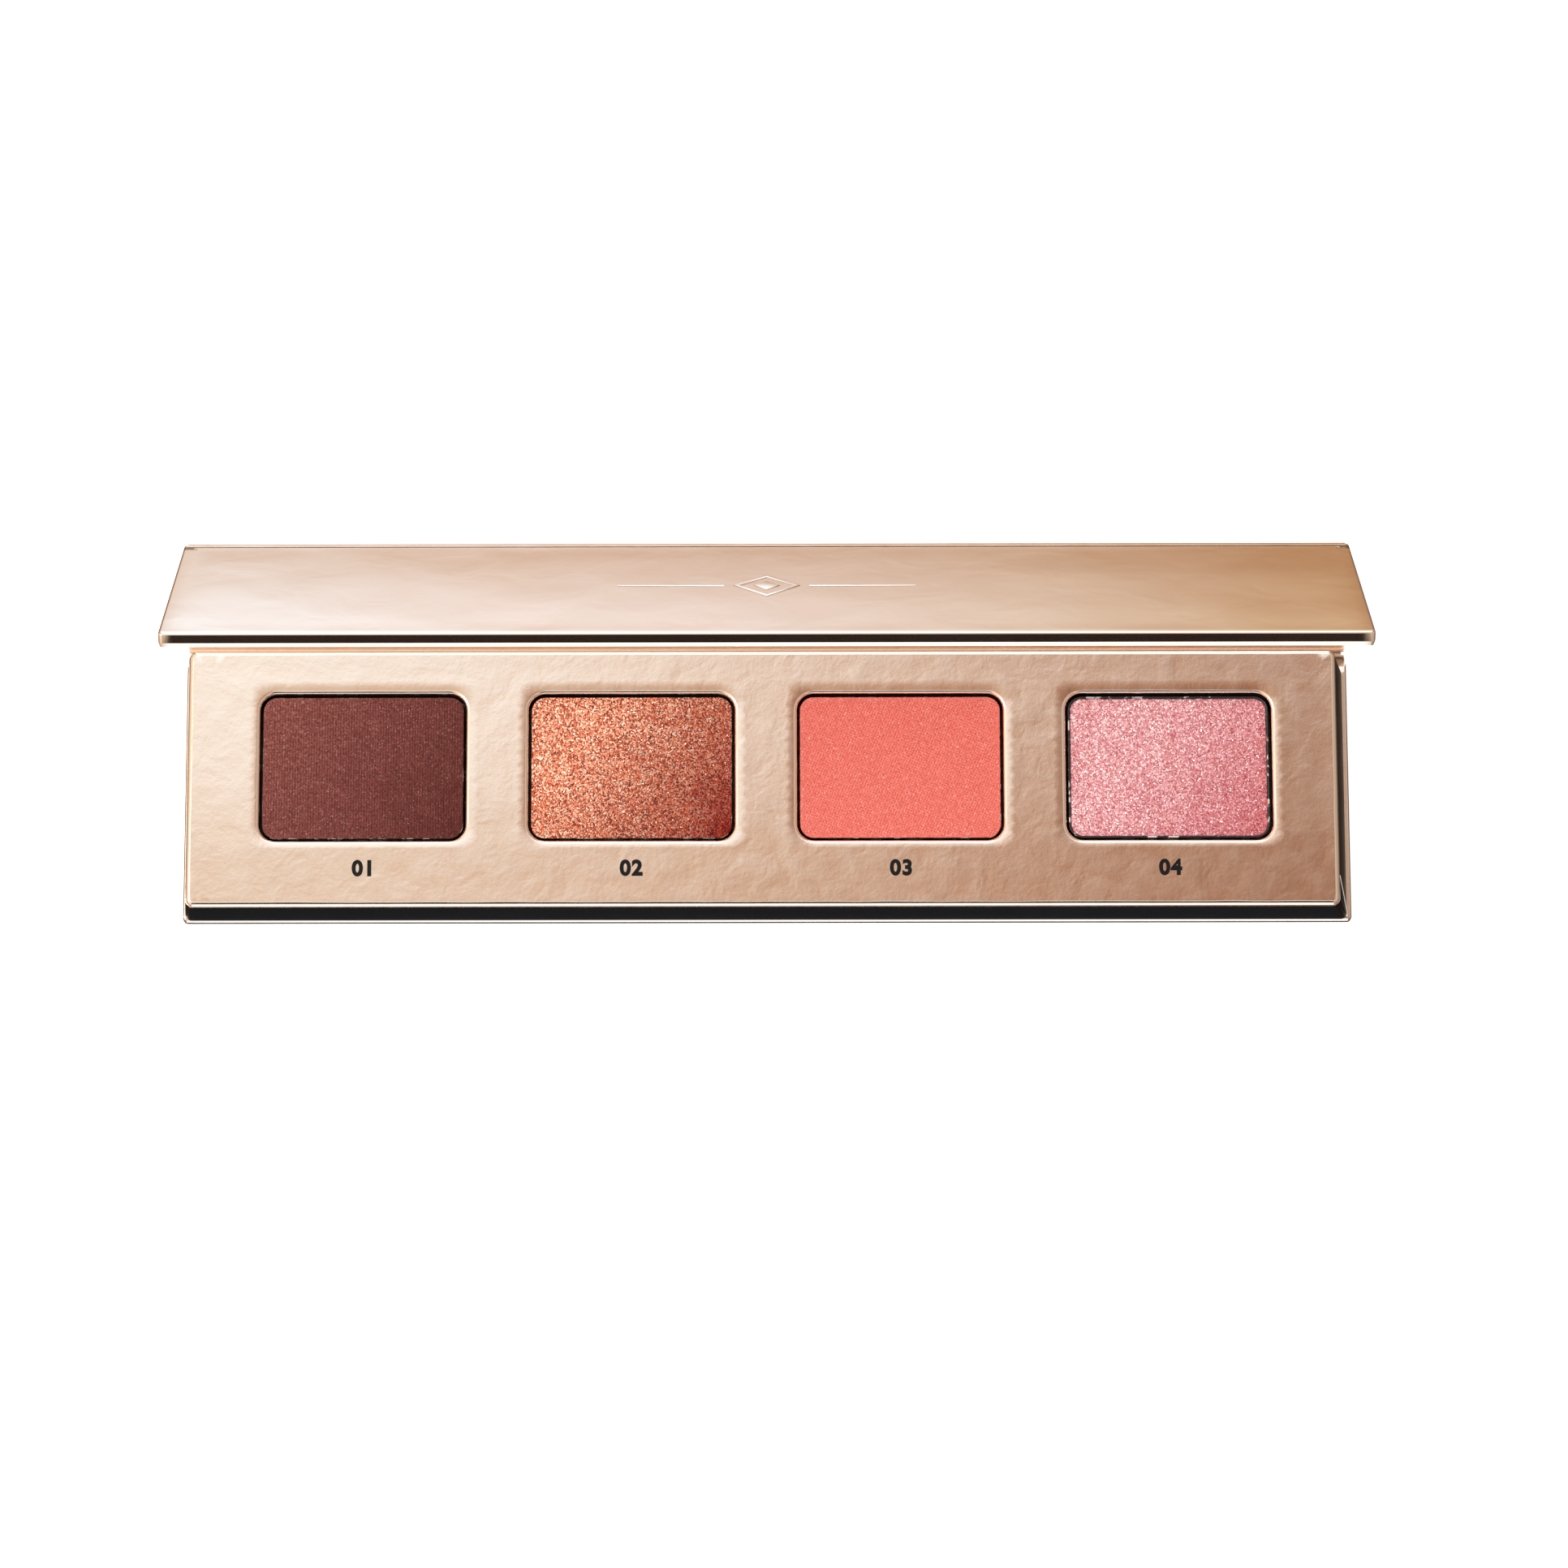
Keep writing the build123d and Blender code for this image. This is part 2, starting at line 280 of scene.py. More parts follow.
@dataclass(frozen=True)
class Finish:
    """What every finish shares: a material with one Principled shader."""

    name: str

    def open(self, **plain: Any) -> tuple[Any, Any, Any]:
        """Start the material.

        Args:
            plain: Shader sockets that are the same all over, with underscores for spaces.

        Returns:
            The material, its node tree and its shader's inputs.
        """
        material = bpy.data.materials.new(self.name)
        material.use_nodes = True
        shader = material.node_tree.nodes["Principled BSDF"].inputs
        for key, value in plain.items():
            shader[key.replace("_", " ")].default_value = value
        return material, material.node_tree, shader

    def bump(self, tree: Any, shader: Any, height: Any, distance: float) -> None:
        """Wire a relief of so many metres into the shader's normal."""
        made = add_node(tree, "ShaderNodeBump", {"Height": height, "Distance": distance})
        tree.links.new(made.outputs[0], shader["Normal"])

    def gloss(self, tree: Any, shader: Any, share: Any, middle: float, swing: float) -> None:
        """Let the roughness swing about its middle with a share between 0 and 1."""
        made = calc(tree, "MULTIPLY_ADD", share, swing, middle - swing / 2)
        tree.links.new(made, shader["Roughness"])


@dataclass(frozen=True)
class CoatFinish(Finish):
    """A coat whose colour, gloss and relief drift with one effect. The usual one is board."""

    light: Colour = (0.46, 0.44, 0.40)
    dark: Colour = (0.30, 0.28, 0.25)
    roughness: float = 0.9
    swing: float = 0.08
    relief: float = 0.00001
    metallic: float = 0.0
    specular: float = 0.5
    scale: float = 1500.0

    def marks(self, tree: Any) -> Any:
        """The effect's outputs: short flecks of fibre, or streaks on metal."""
        return place_effect(tree, Effects.fibre(), Scale=self.scale)

    def material(self) -> Any:
        """Make the material."""
        material, tree, shader = self.open(
            Metallic=self.metallic, Specular_IOR_Level=self.specular
        )
        marks = self.marks(tree)
        tree.links.new(mix(tree, marks["Tone"], self.dark, self.light), shader["Base Color"])
        self.gloss(tree, shader, marks["Tone"], self.roughness, self.swing)
        if self.relief:
            self.bump(tree, shader, marks["Height"], self.relief)
        return material


@dataclass(frozen=True)
class FoilFinish(CoatFinish):
    """Metallic foil laminated on paper or card."""

    light: Colour = (1.0, 0.80, 0.64)
    dark: Colour = (0.98, 0.74, 0.56)
    roughness: float = 0.2
    swing: float = 0.06
    relief: float = 0.00003
    metallic: float = 1.0
    scale: float = 420.0
    peel_scale: float = 2200.0
    peel_share: float = 0.3

    def marks(self, tree: Any) -> Any:
        """The effect's outputs: hammered waves with an orange peel."""
        return place_effect(
            tree, Effects.hammered(), Wave_scale=self.scale, Peel_scale=self.peel_scale,
            Peel_share=self.peel_share,
        )


@dataclass(frozen=True)
class MetalFinish(CoatFinish):
    """Bright sheet metal or plated metal with fine handling marks."""

    light: Colour = (0.86, 0.85, 0.83)
    dark: Colour = (0.70, 0.69, 0.67)
    roughness: float = 0.2
    swing: float = 0.12
    relief: float = 0.000002
    metallic: float = 1.0
    scale: float = 900.0


@dataclass(frozen=True)
class RimFinish(Finish):
    """Sheet metal painted near black as shade for the unlit curled rim in its gap, with broken
    patches of bright bare metal.
    """

    # Near black: painted shade for the rim, which sits unlit in the gap round the pan.
    painted_shade_colour: Colour = (0.012, 0.008, 0.007)
    bare: Colour = (0.82, 0.76, 0.70)
    bare_from: float = 0.56
    bare_to: float = 0.62

    def material(self) -> Any:
        """Make the material: a broken mask turns the painted shade to bare metal."""
        material, tree, shader = self.open()
        metal_patch_noise = cloud(tree, object_place(tree), 900.0, 3.0)
        mask = fit_range(tree, metal_patch_noise, self.bare_from, self.bare_to)
        tree.links.new(mix(tree, mask, self.painted_shade_colour, self.bare), shader["Base Color"])
        tree.links.new(mask, shader["Metallic"])
        self.gloss(tree, shader, mask, 0.325, -0.25)
        return material


@dataclass(frozen=True)
class PaintedShade:
    """Painted shade across a cake: its colour darkens from one point towards another, standing in
    for the fall of light across it.
    """

    start: Flat
    end: Flat
    # Colour multiplied in at the dark end of the painted shade.
    shade: Colour = (1.0, 1.0, 1.0)

    def shaded(self, tree: Any, colour: Any, drift: Any) -> Any:
        """Darken a colour along the painted shade, from its light start to its dark end.

        Args:
            tree: Node tree of the material.
            colour: Output that gives the colour.
            drift: Output that breaks the painted shade up.

        Returns:
            The darkened colour's output.
        """
        parts = add_node(tree, "ShaderNodeSeparateXYZ", {0: object_place(tree)}).outputs
        dx, dy = (self.end[0] - self.start[0]) * MM, (self.end[1] - self.start[1]) * MM
        square = dx * dx + dy * dy
        along = calc(tree, "ADD", *(
            calc(tree, "MULTIPLY", calc(tree, "SUBTRACT", part, start * MM), way / square)
            for part, start, way in zip(parts, self.start, (dx, dy))
        ))
        amount = calc(tree, "MULTIPLY_ADD", calc(tree, "SUBTRACT", drift, 0.5), 0.3, along)
        held = add_node(tree, "ShaderNodeClamp", {0: amount}).outputs[0]
        tint = mix(tree, held, (1.0, 1.0, 1.0), self.shade)
        return mix(tree, 1.0, colour, tint, "MULTIPLY")


@dataclass(frozen=True)
class PowderFinish(Finish):
    """Pressed powder: stops colour its grains, from the commonest dark to the rarest light."""

    stops: tuple[tuple[float, Colour], ...]
    painted_shade: PaintedShade
    grain_scale: float = 9000.0
    roughness: float = 0.85
    shimmer: float = 0.0
    relief: float = 0.00002
    # Strength of the painted shade in the pressed hollows.
    painted_hollow_shade: float = 0.0

    def material(self) -> Any:
        """Make the material: grain colours, cloudy drift, painted shade across the cake and painted
        shade in the pressed hollows.
        """
        material, tree, shader = self.open(Specular_IOR_Level=0.2)
        grains = place_effect(tree, Effects.grains(), Grain_scale=self.grain_scale)
        colour = ramp(tree, grains["Grain"], self.stops)
        # Painted shade across the cake, standing in for the fall of light.
        shaded = self.painted_shade.shaded(tree, colour, grains["Cloud"])
        # Painted shade in the pressed hollows: the colour darkens where the pattern is low and
        # lightens on its ridges.
        hollow = add_node(tree, "ShaderNodeAttribute", attribute_name="hollow").outputs["Fac"]
        dim = calc(tree, "MULTIPLY_ADD", hollow, self.painted_hollow_shade, 1.0 - self.painted_hollow_shade / 2)
        tree.links.new(scaled(tree, shaded, dim), shader["Base Color"])
        self.gloss(tree, shader, grains["Second"], self.roughness, 0.1)
        if self.shimmer:
            metal = calc(tree, "MULTIPLY", grains["Second"], self.shimmer)
            tree.links.new(metal, shader["Metallic"])
        self.bump(tree, shader, grains["Height"], self.relief)
        return material


@dataclass(frozen=True)
class FlakeFinish(Finish):
    """Shiny flakes in a powder, each a slightly different tone, darkened by the same painted shade
    across the cake as their powder.
    """

    light: Colour
    deep: Colour
    painted_shade: PaintedShade

    def material(self) -> Any:
        """Make the material."""
        material, tree, shader = self.open(Metallic=1.0)
        grains = place_effect(tree, Effects.grains(), Grain_scale=5000.0)
        colour = mix(tree, grains["Grain"], self.deep, self.light)
        # Painted shade across the cake, the same as the powder's.
        tree.links.new(self.painted_shade.shaded(tree, colour, grains["Cloud"]), shader["Base Color"])
        self.gloss(tree, shader, grains["Second"], 0.25, 0.2)
        return material


class Finishes:
    """Every finish of the palette, made once."""

    def __init__(self) -> None:
        """Make all the materials."""
        self.lid_foil = FoilFinish(
            "lid_foil", roughness=0.1, scale=150.0, peel_scale=1500.0, peel_share=0.08,
            relief=0.000014,
        ).material()
        self.case_foil = FoilFinish("case_foil", scale=240.0, relief=0.00002).material()
        self.panel_foil = FoilFinish("panel_foil", roughness=0.17, relief=0.000015).material()
        self.mark_foil = FoilFinish(
            "mark_foil", light=(1.0, 0.86, 0.74), dark=(1.0, 0.80, 0.66), roughness=0.3,
            relief=0.000006,
        ).material()
        # Near black colour, a painted dark reflection: it stands in for the dark surroundings that
        # the wall foil mirrors.
        self.painted_dark_wall_foil = FoilFinish(
            "painted_dark_wall_foil", light=(0.0035, 0.002, 0.0017), dark=(0.001, 0.0007, 0.0007),
            roughness=0.33, swing=0.1, metallic=0.0, specular=0.02, scale=260.0, peel_share=0.15,
        ).material()
        self.fold_edge = CoatFinish(
            "fold_edge", light=(0.86, 0.82, 0.76), dark=(0.74, 0.69, 0.62), roughness=0.5
        ).material()
        self.greyboard = CoatFinish("greyboard").material()
        # Near black board: painted shade, so the gaps round the pans read dark.
        self.black_board = CoatFinish(
            "black_board", light=(0.012, 0.011, 0.011), dark=(0.004, 0.004, 0.004)
        ).material()
        self.glue = CoatFinish(
            "glue", light=(0.72, 0.70, 0.62), dark=(0.62, 0.6, 0.52)
        ).material()
        self.tinplate = RimFinish("tinplate").material()
        self.nickel = MetalFinish("nickel", light=(0.8, 0.79, 0.77)).material()
        self.silvered = MetalFinish(
            "silvered_glass", light=(0.93, 0.94, 0.94), dark=(0.91, 0.92, 0.92), roughness=0.07
        ).material()
        self.ink = CoatFinish(
            "printing_ink", light=(0.008, 0.007, 0.007), dark=(0.003, 0.003, 0.003),
            roughness=0.575, swing=0.15, relief=0.0, specular=0.15, scale=6000.0,
        ).material()


# --- Mesh helpers ------------------------------------------------------------------------


@dataclass(frozen=True)
class Outline:
    """A rectangle with rounded corners, seen from above."""

    left: float
    right: float
    front: float
    rear: float
    corner: float

    def middle(self) -> Flat:
        """The middle of the outline."""
        return ((self.left + self.right) / 2, (self.front + self.rear) / 2)

    def depth_in(self, x: float, y: float) -> float:
        """How far inside its four sides a point lies, less than 0 outside."""
        return min(x - self.left, self.right - x, y - self.front, self.rear - y)

    def inset(self, amount: float) -> "Outline":
        """The same outline, smaller by an amount on every side."""
        return Outline(
            self.left + amount, self.right - amount, self.front + amount, self.rear - amount,
            max(self.corner - amount, 0.03),
        )

    def loop(self, spacing: float, turn: int = 6, like: "Outline | None" = None) -> list[Flat]:
        """Points round the outline, anticlockwise from the front left.

        Args:
            spacing: Distance between points on the straight sides.
            turn: Steps round each corner.
            like: Outline whose sides set how many points there are.

        Returns:
            The points.
        """
        model = like or self
        across = max(1, round((model.right - model.left - 2 * model.corner) / spacing))
        deep = max(1, round((model.rear - model.front - 2 * model.corner) / spacing))
        c = self.corner
        centres = [
            (self.right - c, self.front + c), (self.right - c, self.rear - c),
            (self.left + c, self.rear - c), (self.left + c, self.front + c),
        ]
        starts = [
            (self.left + c, self.front), (self.right, self.front + c),
            (self.right - c, self.rear), (self.left, self.rear - c),
        ]
        ends = [
            (self.right - c, self.front), (self.right, self.rear - c),
            (self.left + c, self.rear), (self.left, self.front + c),
        ]
        points: list[Flat] = []
        for side, steps in enumerate((across, deep, across, deep)):
            (x0, y0), (x1, y1) = starts[side], ends[side]
            points += [
                (x0 + (x1 - x0) * i / steps, y0 + (y1 - y0) * i / steps) for i in range(steps)
            ]
            cx, cy = centres[side]
            for i in range(turn):
                a = math.radians(-90 + 90 * side + 90 * i / turn)
                points.append((cx + c * math.cos(a), cy + c * math.sin(a)))
        return points


def box_outline(node: str, corner: float, grow: float = 0.0) -> Outline:
    """The outline of a CAD node, seen from above.

    Args:
        node: Name of the node.
        corner: Corner radius.
        grow: How much larger the outline is than the node.

    Returns:
        The outline.
    """
    low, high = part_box(node)
    return Outline(
        low.x / MM - grow, high.x / MM + grow, low.y / MM - grow, high.y / MM + grow, corner
    )


def arc(start: float, end: float, steps: int, first: int = 0) -> list[float]:
    """Angles in radians, in even steps from one angle to another, both in degrees."""
    return [math.radians(start + (end - start) * i / steps) for i in range(first, steps + 1)]


def directions(turn: float) -> tuple[Vector, Vector]:
    """A board's way out from its crease and its way inward, at a turn in degrees."""
    a = math.radians(turn)
    return Vector((0, math.cos(a), math.sin(a))), Vector((0, -math.sin(a), math.cos(a)))


def crease(name: str) -> Vector:
    """Where a hinge stands, in millimetres."""
    return Vector(next(j["pos_m"] for j in frame["joints"] if j["name"] == name)) / MM


def heights(node: str) -> Flat:
    """Height of a CAD node's underside and of its top, in millimetres."""
    return tuple(corner.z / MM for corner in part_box(node))


def ripple(x: float, y: float, wavelength: float, seed: float = 0.0) -> float:
    """A smooth uneven ripple between about -1 and 1."""
    return noise.noise(Vector((x / wavelength, y / wavelength, seed)))


def held(value: float) -> float:
    """A value held between 0 and 1."""
    return max(0.0, min(1.0, value))


def add_object(name: str, data: Any) -> Any:
    """Make an object and link it to the scene."""
    made = bpy.data.objects.new(name, data)
    bpy.context.scene.collection.objects.link(made)
    return made


def plain_mesh(source: Any) -> Any:
    """The mesh that an object shows, as plain data."""
    graph = bpy.context.evaluated_depsgraph_get()
    graph.update()
    return bpy.data.meshes.new_from_object(source.evaluated_get(graph))


def clean_mesh(mesh: Any) -> None:
    """Join doubled points, drop empty faces and turn the faces outward."""
    work = bmesh.new()
    work.from_mesh(mesh)
    bmesh.ops.remove_doubles(work, verts=work.verts, dist=1e-7)
    bmesh.ops.dissolve_degenerate(work, edges=work.edges, dist=1e-8)
    bmesh.ops.recalc_face_normals(work, faces=work.faces)
    work.to_mesh(mesh)
    work.free()


def finish_object(name: str, mesh: Any, material: Any, sharp: float = 45.0) -> Any:
    """Smooth a mesh, give it its material and link it as an object.

    Args:
        name: Name of the piece.
        mesh: Its mesh.
        material: Its material, or None to keep what the mesh has.
        sharp: Angle in degrees above which an edge stays sharp.

    Returns:
        The object.
    """
    if material is not None:
        mesh.materials.clear()
        mesh.materials.append(material)
    mesh.polygons.foreach_set("use_smooth", [True] * len(mesh.polygons))
    mesh.set_sharp_from_angle(angle=math.radians(sharp))
    mesh.update()
    return add_object(name, mesh)


def put_on(piece: Any, body: str, node: str | None = None) -> None:
    """Put a piece on its body and report it.

    Args:
        piece: The piece.
        body: Body that carries it.
        node: CAD node that it stands for, if there is one.
    """
    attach(piece, body)
    if node:
        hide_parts(node)
    LOG.info("%s on %s, %d faces", piece.name, body, len(piece.data.polygons))


class MeshDraft:
    """Points and faces of one piece, in millimetres, before they become a mesh."""

    def __init__(self) -> None:
        """Start with nothing."""
        self.points: list[Point] = []
        self.faces: list[tuple[int, ...]] = []

    def loop(self, points: Iterable[Point]) -> list[int]:
        """Add points and give their numbers."""
        start = len(self.points)
        self.points.extend(points)
        return list(range(start, len(self.points)))

    def ring(self, flat: Sequence[Flat], height: float) -> list[int]:
        """Add a level ring of points at a height and give their numbers."""
        return self.loop((x, y, height) for x, y in flat)

    def bridge(self, first: Sequence[int], second: Sequence[int], closed: bool = True) -> None:
        """Join two rings, or two open rows, of equal length with a band of faces."""
        count = len(first)
        for i in range(count if closed else count - 1):
            j = (i + 1) % count
            self.faces.append((first[i], first[j], second[j], second[i]))

    def stack(
        self, rings: Sequence[Sequence[int]], capped: bool = True, closed: bool = True,
    ) -> None:
        """Join rings one after the other.

        Args:
            rings: Numbers of each ring's points.
            capped: Whether the first and the last ring are closed with a face each.
            closed: False where the rings are open rows.
        """
        for first, second in zip(rings, rings[1:]):
            self.bridge(first, second, closed)
        if capped:
            self.cap(rings[0])
            self.cap(rings[-1])

    def cap(self, ring: Sequence[int]) -> None:
        """Close a ring with one face."""
        self.faces.append(tuple(ring))

    def fill(
        self, rim: Sequence[int], holes: Sequence[Sequence[int]], flat: Callable[[int], Flat],
        inner: Sequence[Flat], place: Callable[[float, float], Point],
    ) -> None:
        """Fill a rim that may have holes with triangles over a bed of inner points.

        Args:
            rim: Numbers of the rim's points.
            holes: Numbers of each hole's points.
            flat: Gives a point's flat position from its number.
            inner: Flat positions of the bed, clear of the rim and the holes.
            place: Gives a bed point's place in space.
        """
        numbers: list[int] = []
        edges: list[tuple[int, int]] = []
        hole_of: dict[int, int] = {}
        for index, loop in enumerate((rim, *holes)):
            start, size = len(numbers), len(loop)
            edges += [(start + i, start + (i + 1) % size) for i in range(size)]
            if index:
                hole_of.update({start + i: index for i in range(size)})
            numbers += loop
        coords = [Vector(flat(n)) for n in numbers] + [Vector(p) for p in inner]
        numbers += self.loop(place(x, y) for x, y in inner)
        made = delaunay_2d_cdt(coords, edges, [], 0, 1e-6)
        source = [ids[0] for ids in made[3]]
        for face in made[2]:
            corners = [source[v] for v in face]
            groups = {hole_of.get(c, 0) for c in corners}
            if len(groups) > 1 or 0 in groups:
                self.faces.append(tuple(numbers[c] for c in corners))

    def build(self, name: str, material: Any, sharp: float = 45.0) -> Any:
        """Make the object.

        Args:
            name: Name of the piece.
            material: Its material.
            sharp: Angle in degrees above which an edge stays sharp.

        Returns:
            The object, with its place in its mesh.
        """
        mesh = bpy.data.meshes.new(name)
        mesh.from_pydata([(x * MM, y * MM, z * MM) for x, y, z in self.points], [], self.faces)
        clean_mesh(mesh)
        return finish_object(name, mesh, material, sharp)


class RuleTree:
    """A Geometry Nodes tree with named number inputs and a material input."""

    def __init__(self, name: str, numbers: dict[str, float]) -> None:
        """Open the tree.

        Args:
            name: Name of the tree.
            numbers: Input names and their usual values.
        """
        self.tree = bpy.data.node_groups.new(name, "GeometryNodeTree")
        self.identifiers: dict[str, str] = {}
        face = self.tree.interface
        for label, kind in (
            ("Geometry", "Geometry"), *((label, "Float") for label in numbers),
            ("Material", "Material"),
        ):
            socket = face.new_socket(label, in_out="INPUT", socket_type=f"NodeSocket{kind}")
            self.identifiers[label] = socket.identifier
            if label in numbers:
                socket.default_value = numbers[label]
        face.new_socket("Geometry", in_out="OUTPUT", socket_type="NodeSocketGeometry")
        self.given = self.tree.nodes.new("NodeGroupInput").outputs

    def close(self, geometry: Any) -> None:
        """End the tree: instances become real and everything gets the material."""
        real = add_node(self.tree, "GeometryNodeRealizeInstances", {"Geometry": geometry})
        dressed = add_node(
            self.tree, "GeometryNodeSetMaterial",
            {"Geometry": real.outputs[0], "Material": self.given["Material"]},
        )
        add_node(self.tree, "NodeGroupOutput", {0: dressed.outputs[0]})

    def apply(self, source: Any, name: str, values: dict[str, Any], sharp: float) -> Any:
        """Run the tree on an object and keep the result as a plain mesh.

        Args:
            source: Object that the tree works on.
            name: Name of the new piece.
            values: Input names and values.
            sharp: Angle in degrees above which an edge stays sharp.

        Returns:
            The new object.
        """
        modifier = source.modifiers.new(self.tree.name, "NODES")
        modifier.node_group = self.tree
        for label, value in values.items():
            modifier[self.identifiers[label]] = value
        mesh = plain_mesh(source)
        source.modifiers.remove(modifier)
        return finish_object(name, mesh, None, sharp)


# --- Case: three boards in foil paper, and the foil over their hinges ---------------------


class End(Enum):
    """How a board's cover ends: folded over a free edge, or mitred at a crease."""

    FREE = "free"
    MITRED = "mitred"


@dataclass
class FoilCover:
    """Foil paper folded round one board of the case.

    A point of the cover has a place along the case, a distance from the crease along the
    board, and a depth below the outer face.
    """

    name: str
    body: str
    origin: Vector
    turn: float
    reach: float
    far: End = End.FREE
    inside_up: bool = False
    bow: float = 0.0
    step_x: float = 1.2
    step_u: float = 0.8
    length: float = 120.0
    board: float = 1.6
    paper: float = 0.2
    outer_fold: float = 0.28
    inner_fold: float = 0.1
    lip: float = 0.44
    lip_lean: float = 17.0
    turn_in: float = 1.6
    hinge_turn_in: float = 0.8
    mitre_gap: float = 0.15
    leaf: float = 1.2
    leaf_seat: float = 0.1
    seat_edge: float = 0.03
    wave: float = 0.012
    calm_edge: float = 2.0

    def place(self, x: float, u: float, depth: float) -> Point:
        """A point of the board's section, in the frame of the palette."""
        way, inward = directions(self.turn)
        p = self.origin + way * u + inward * (-depth if self.inside_up else depth)
        return (x, p.y, p.z)

    def seat(self, u: float, depth: float) -> float:
        """How far the cover steps down beside a crease, where the hinge foil lies on it."""
        beside = u < self.leaf or (self.far is End.MITRED and u > self.reach - self.leaf)
        return self.leaf_seat * max(0.0, 1 - depth / self.outer_fold) if beside else 0.0

    def stations(self, near: float, far: float) -> list[float]:
        """Distances from the crease at which the cover has points."""
        low, high = self.leaf + self.seat_edge, self.reach - self.leaf - self.seat_edge
        count = max(2, round((self.reach - 2 * self.leaf) / self.step_u))
        middle = 0.55 * self.leaf
        marks = [middle, self.leaf - self.seat_edge]
        marks += [low + (high - low) * i / count for i in range(count + 1)]
        marks += [self.reach - self.leaf + self.seat_edge, self.reach - middle]
        if near + 0.12 < marks[0] and marks[-1] < far - 0.12:
            return marks
        return [near + (far - near) * (mark / self.reach) for mark in marks]

    def ring(self, side: float, depth: float, near: float, far: float) -> list[Point]:
        """A ring round the board.

        Args:
            side: How far the ring is in from the board's two ends.
            depth: Depth below the outer face.
            near: Distance of the ring's near side from the crease.
            far: Distance of its far side.

        Returns:
            The ring's points.
        """
        half = self.length / 2 - side
        c = max(0.05, 0.45 - side) if self.far is End.FREE else 0.02
        steps = round(self.length / self.step_x)
        rows = self.stations(near, far)
        flats = [(-half + 2 * half * i / steps, near) for i in range(steps + 1)]
        flats += [(half, u) for u in rows]
        flats += [(half - c + c * math.cos(a), far - c + c * math.sin(a)) for a in arc(0, 90, 5)]
        flats += [((half - c) - 2 * (half - c) * i / steps, far) for i in range(1, steps)]
        flats += [(c - half + c * math.cos(a), far - c + c * math.sin(a)) for a in arc(90, 180, 5)]
        flats += [(-half, u) for u in reversed(rows)]
        return [self.place(x, u, depth + self.seat(u, depth)) for x, u in flats]

    def profile(self) -> list[Flat]:
        """Inset and depth of each ring, from the outer face round to the inside of the paper."""
        rings = [
            (self.outer_fold * (1 - math.sin(a)),
             self.bow + (self.outer_fold - self.bow) * (1 - math.cos(a)))
            for a in arc(0, 90, 5)
        ]
        lean = math.radians(self.lip_lean)
        start = self.board - self.inner_fold - self.lip
        inset = self.lip * math.tan(lean)
        rings += [(0.0, start), (0.15 * inset, start + 0.25 * self.lip), (inset, start + self.lip)]
        return rings + [
            (inset + self.inner_fold * (math.cos(lean) - math.cos(a)),
             self.board - self.inner_fold * (1 - math.sin(a)))
            for a in arc(self.lip_lean, 90, 5, 1)
        ]

    def build(self, material: Any) -> Any:
        """Make the cover in its foil."""
        draft = MeshDraft()
        mitred = self.far is End.MITRED
        inside = self.board - self.paper
        skin = self.paper * math.sqrt(2)

        def lay(side: float, depth: float, near: float) -> list[int]:
            far = self.reach - near if mitred else self.reach - side
            return draft.loop(self.ring(side, depth, near, far))

        rings = [lay(side, depth, self.mitre_gap + depth) for side, depth in self.profile()]
        turned = self.mitre_gap + self.board + self.hinge_turn_in
        rings += [lay(self.turn_in, depth, turned) for depth in (self.board, inside)]
        rings += [
            lay(self.paper, depth, self.mitre_gap + depth + skin) for depth in (inside, self.paper)
        ]
        draft.stack(rings, capped=False)
        draft.cap(rings[-1])

        way = directions(self.turn)[0]
        flats: dict[int, Flat] = {}
        for number in rings[0]:
            x, y, z = draft.points[number]
            flats[number] = (x, (Vector((0, y, z)) - self.origin).dot(way))
        near, far = self.mitre_gap, self.reach - (self.mitre_gap if mitred else self.outer_fold)
        half = self.length / 2 - self.outer_fold
        steps = round(self.length / self.step_x)
        inner = [
            (-half + 2 * half * i / steps, u) for u in self.stations(near, far)
            for i in range(1, steps) if u < far - 0.3
        ]

        def face_point(x: float, u: float) -> Point:
            edge = min(half - abs(x), u - near, far - u)
            wave = self.wave * (1 + ripple(x, u, 7.0, self.turn)) * held(edge / self.calm_edge)
            arch = self.bow * (1 - (2 * u / self.reach - 1) ** 2)
            arch *= held((half - abs(x)) / self.calm_edge)
            return self.place(x, u, self.seat(u, 0.0) + wave + self.bow - arch)

        draft.fill(rings[0], [], lambda n: flats[n], inner, face_point)
        return draft.build(self.name, material, sharp=50.0)


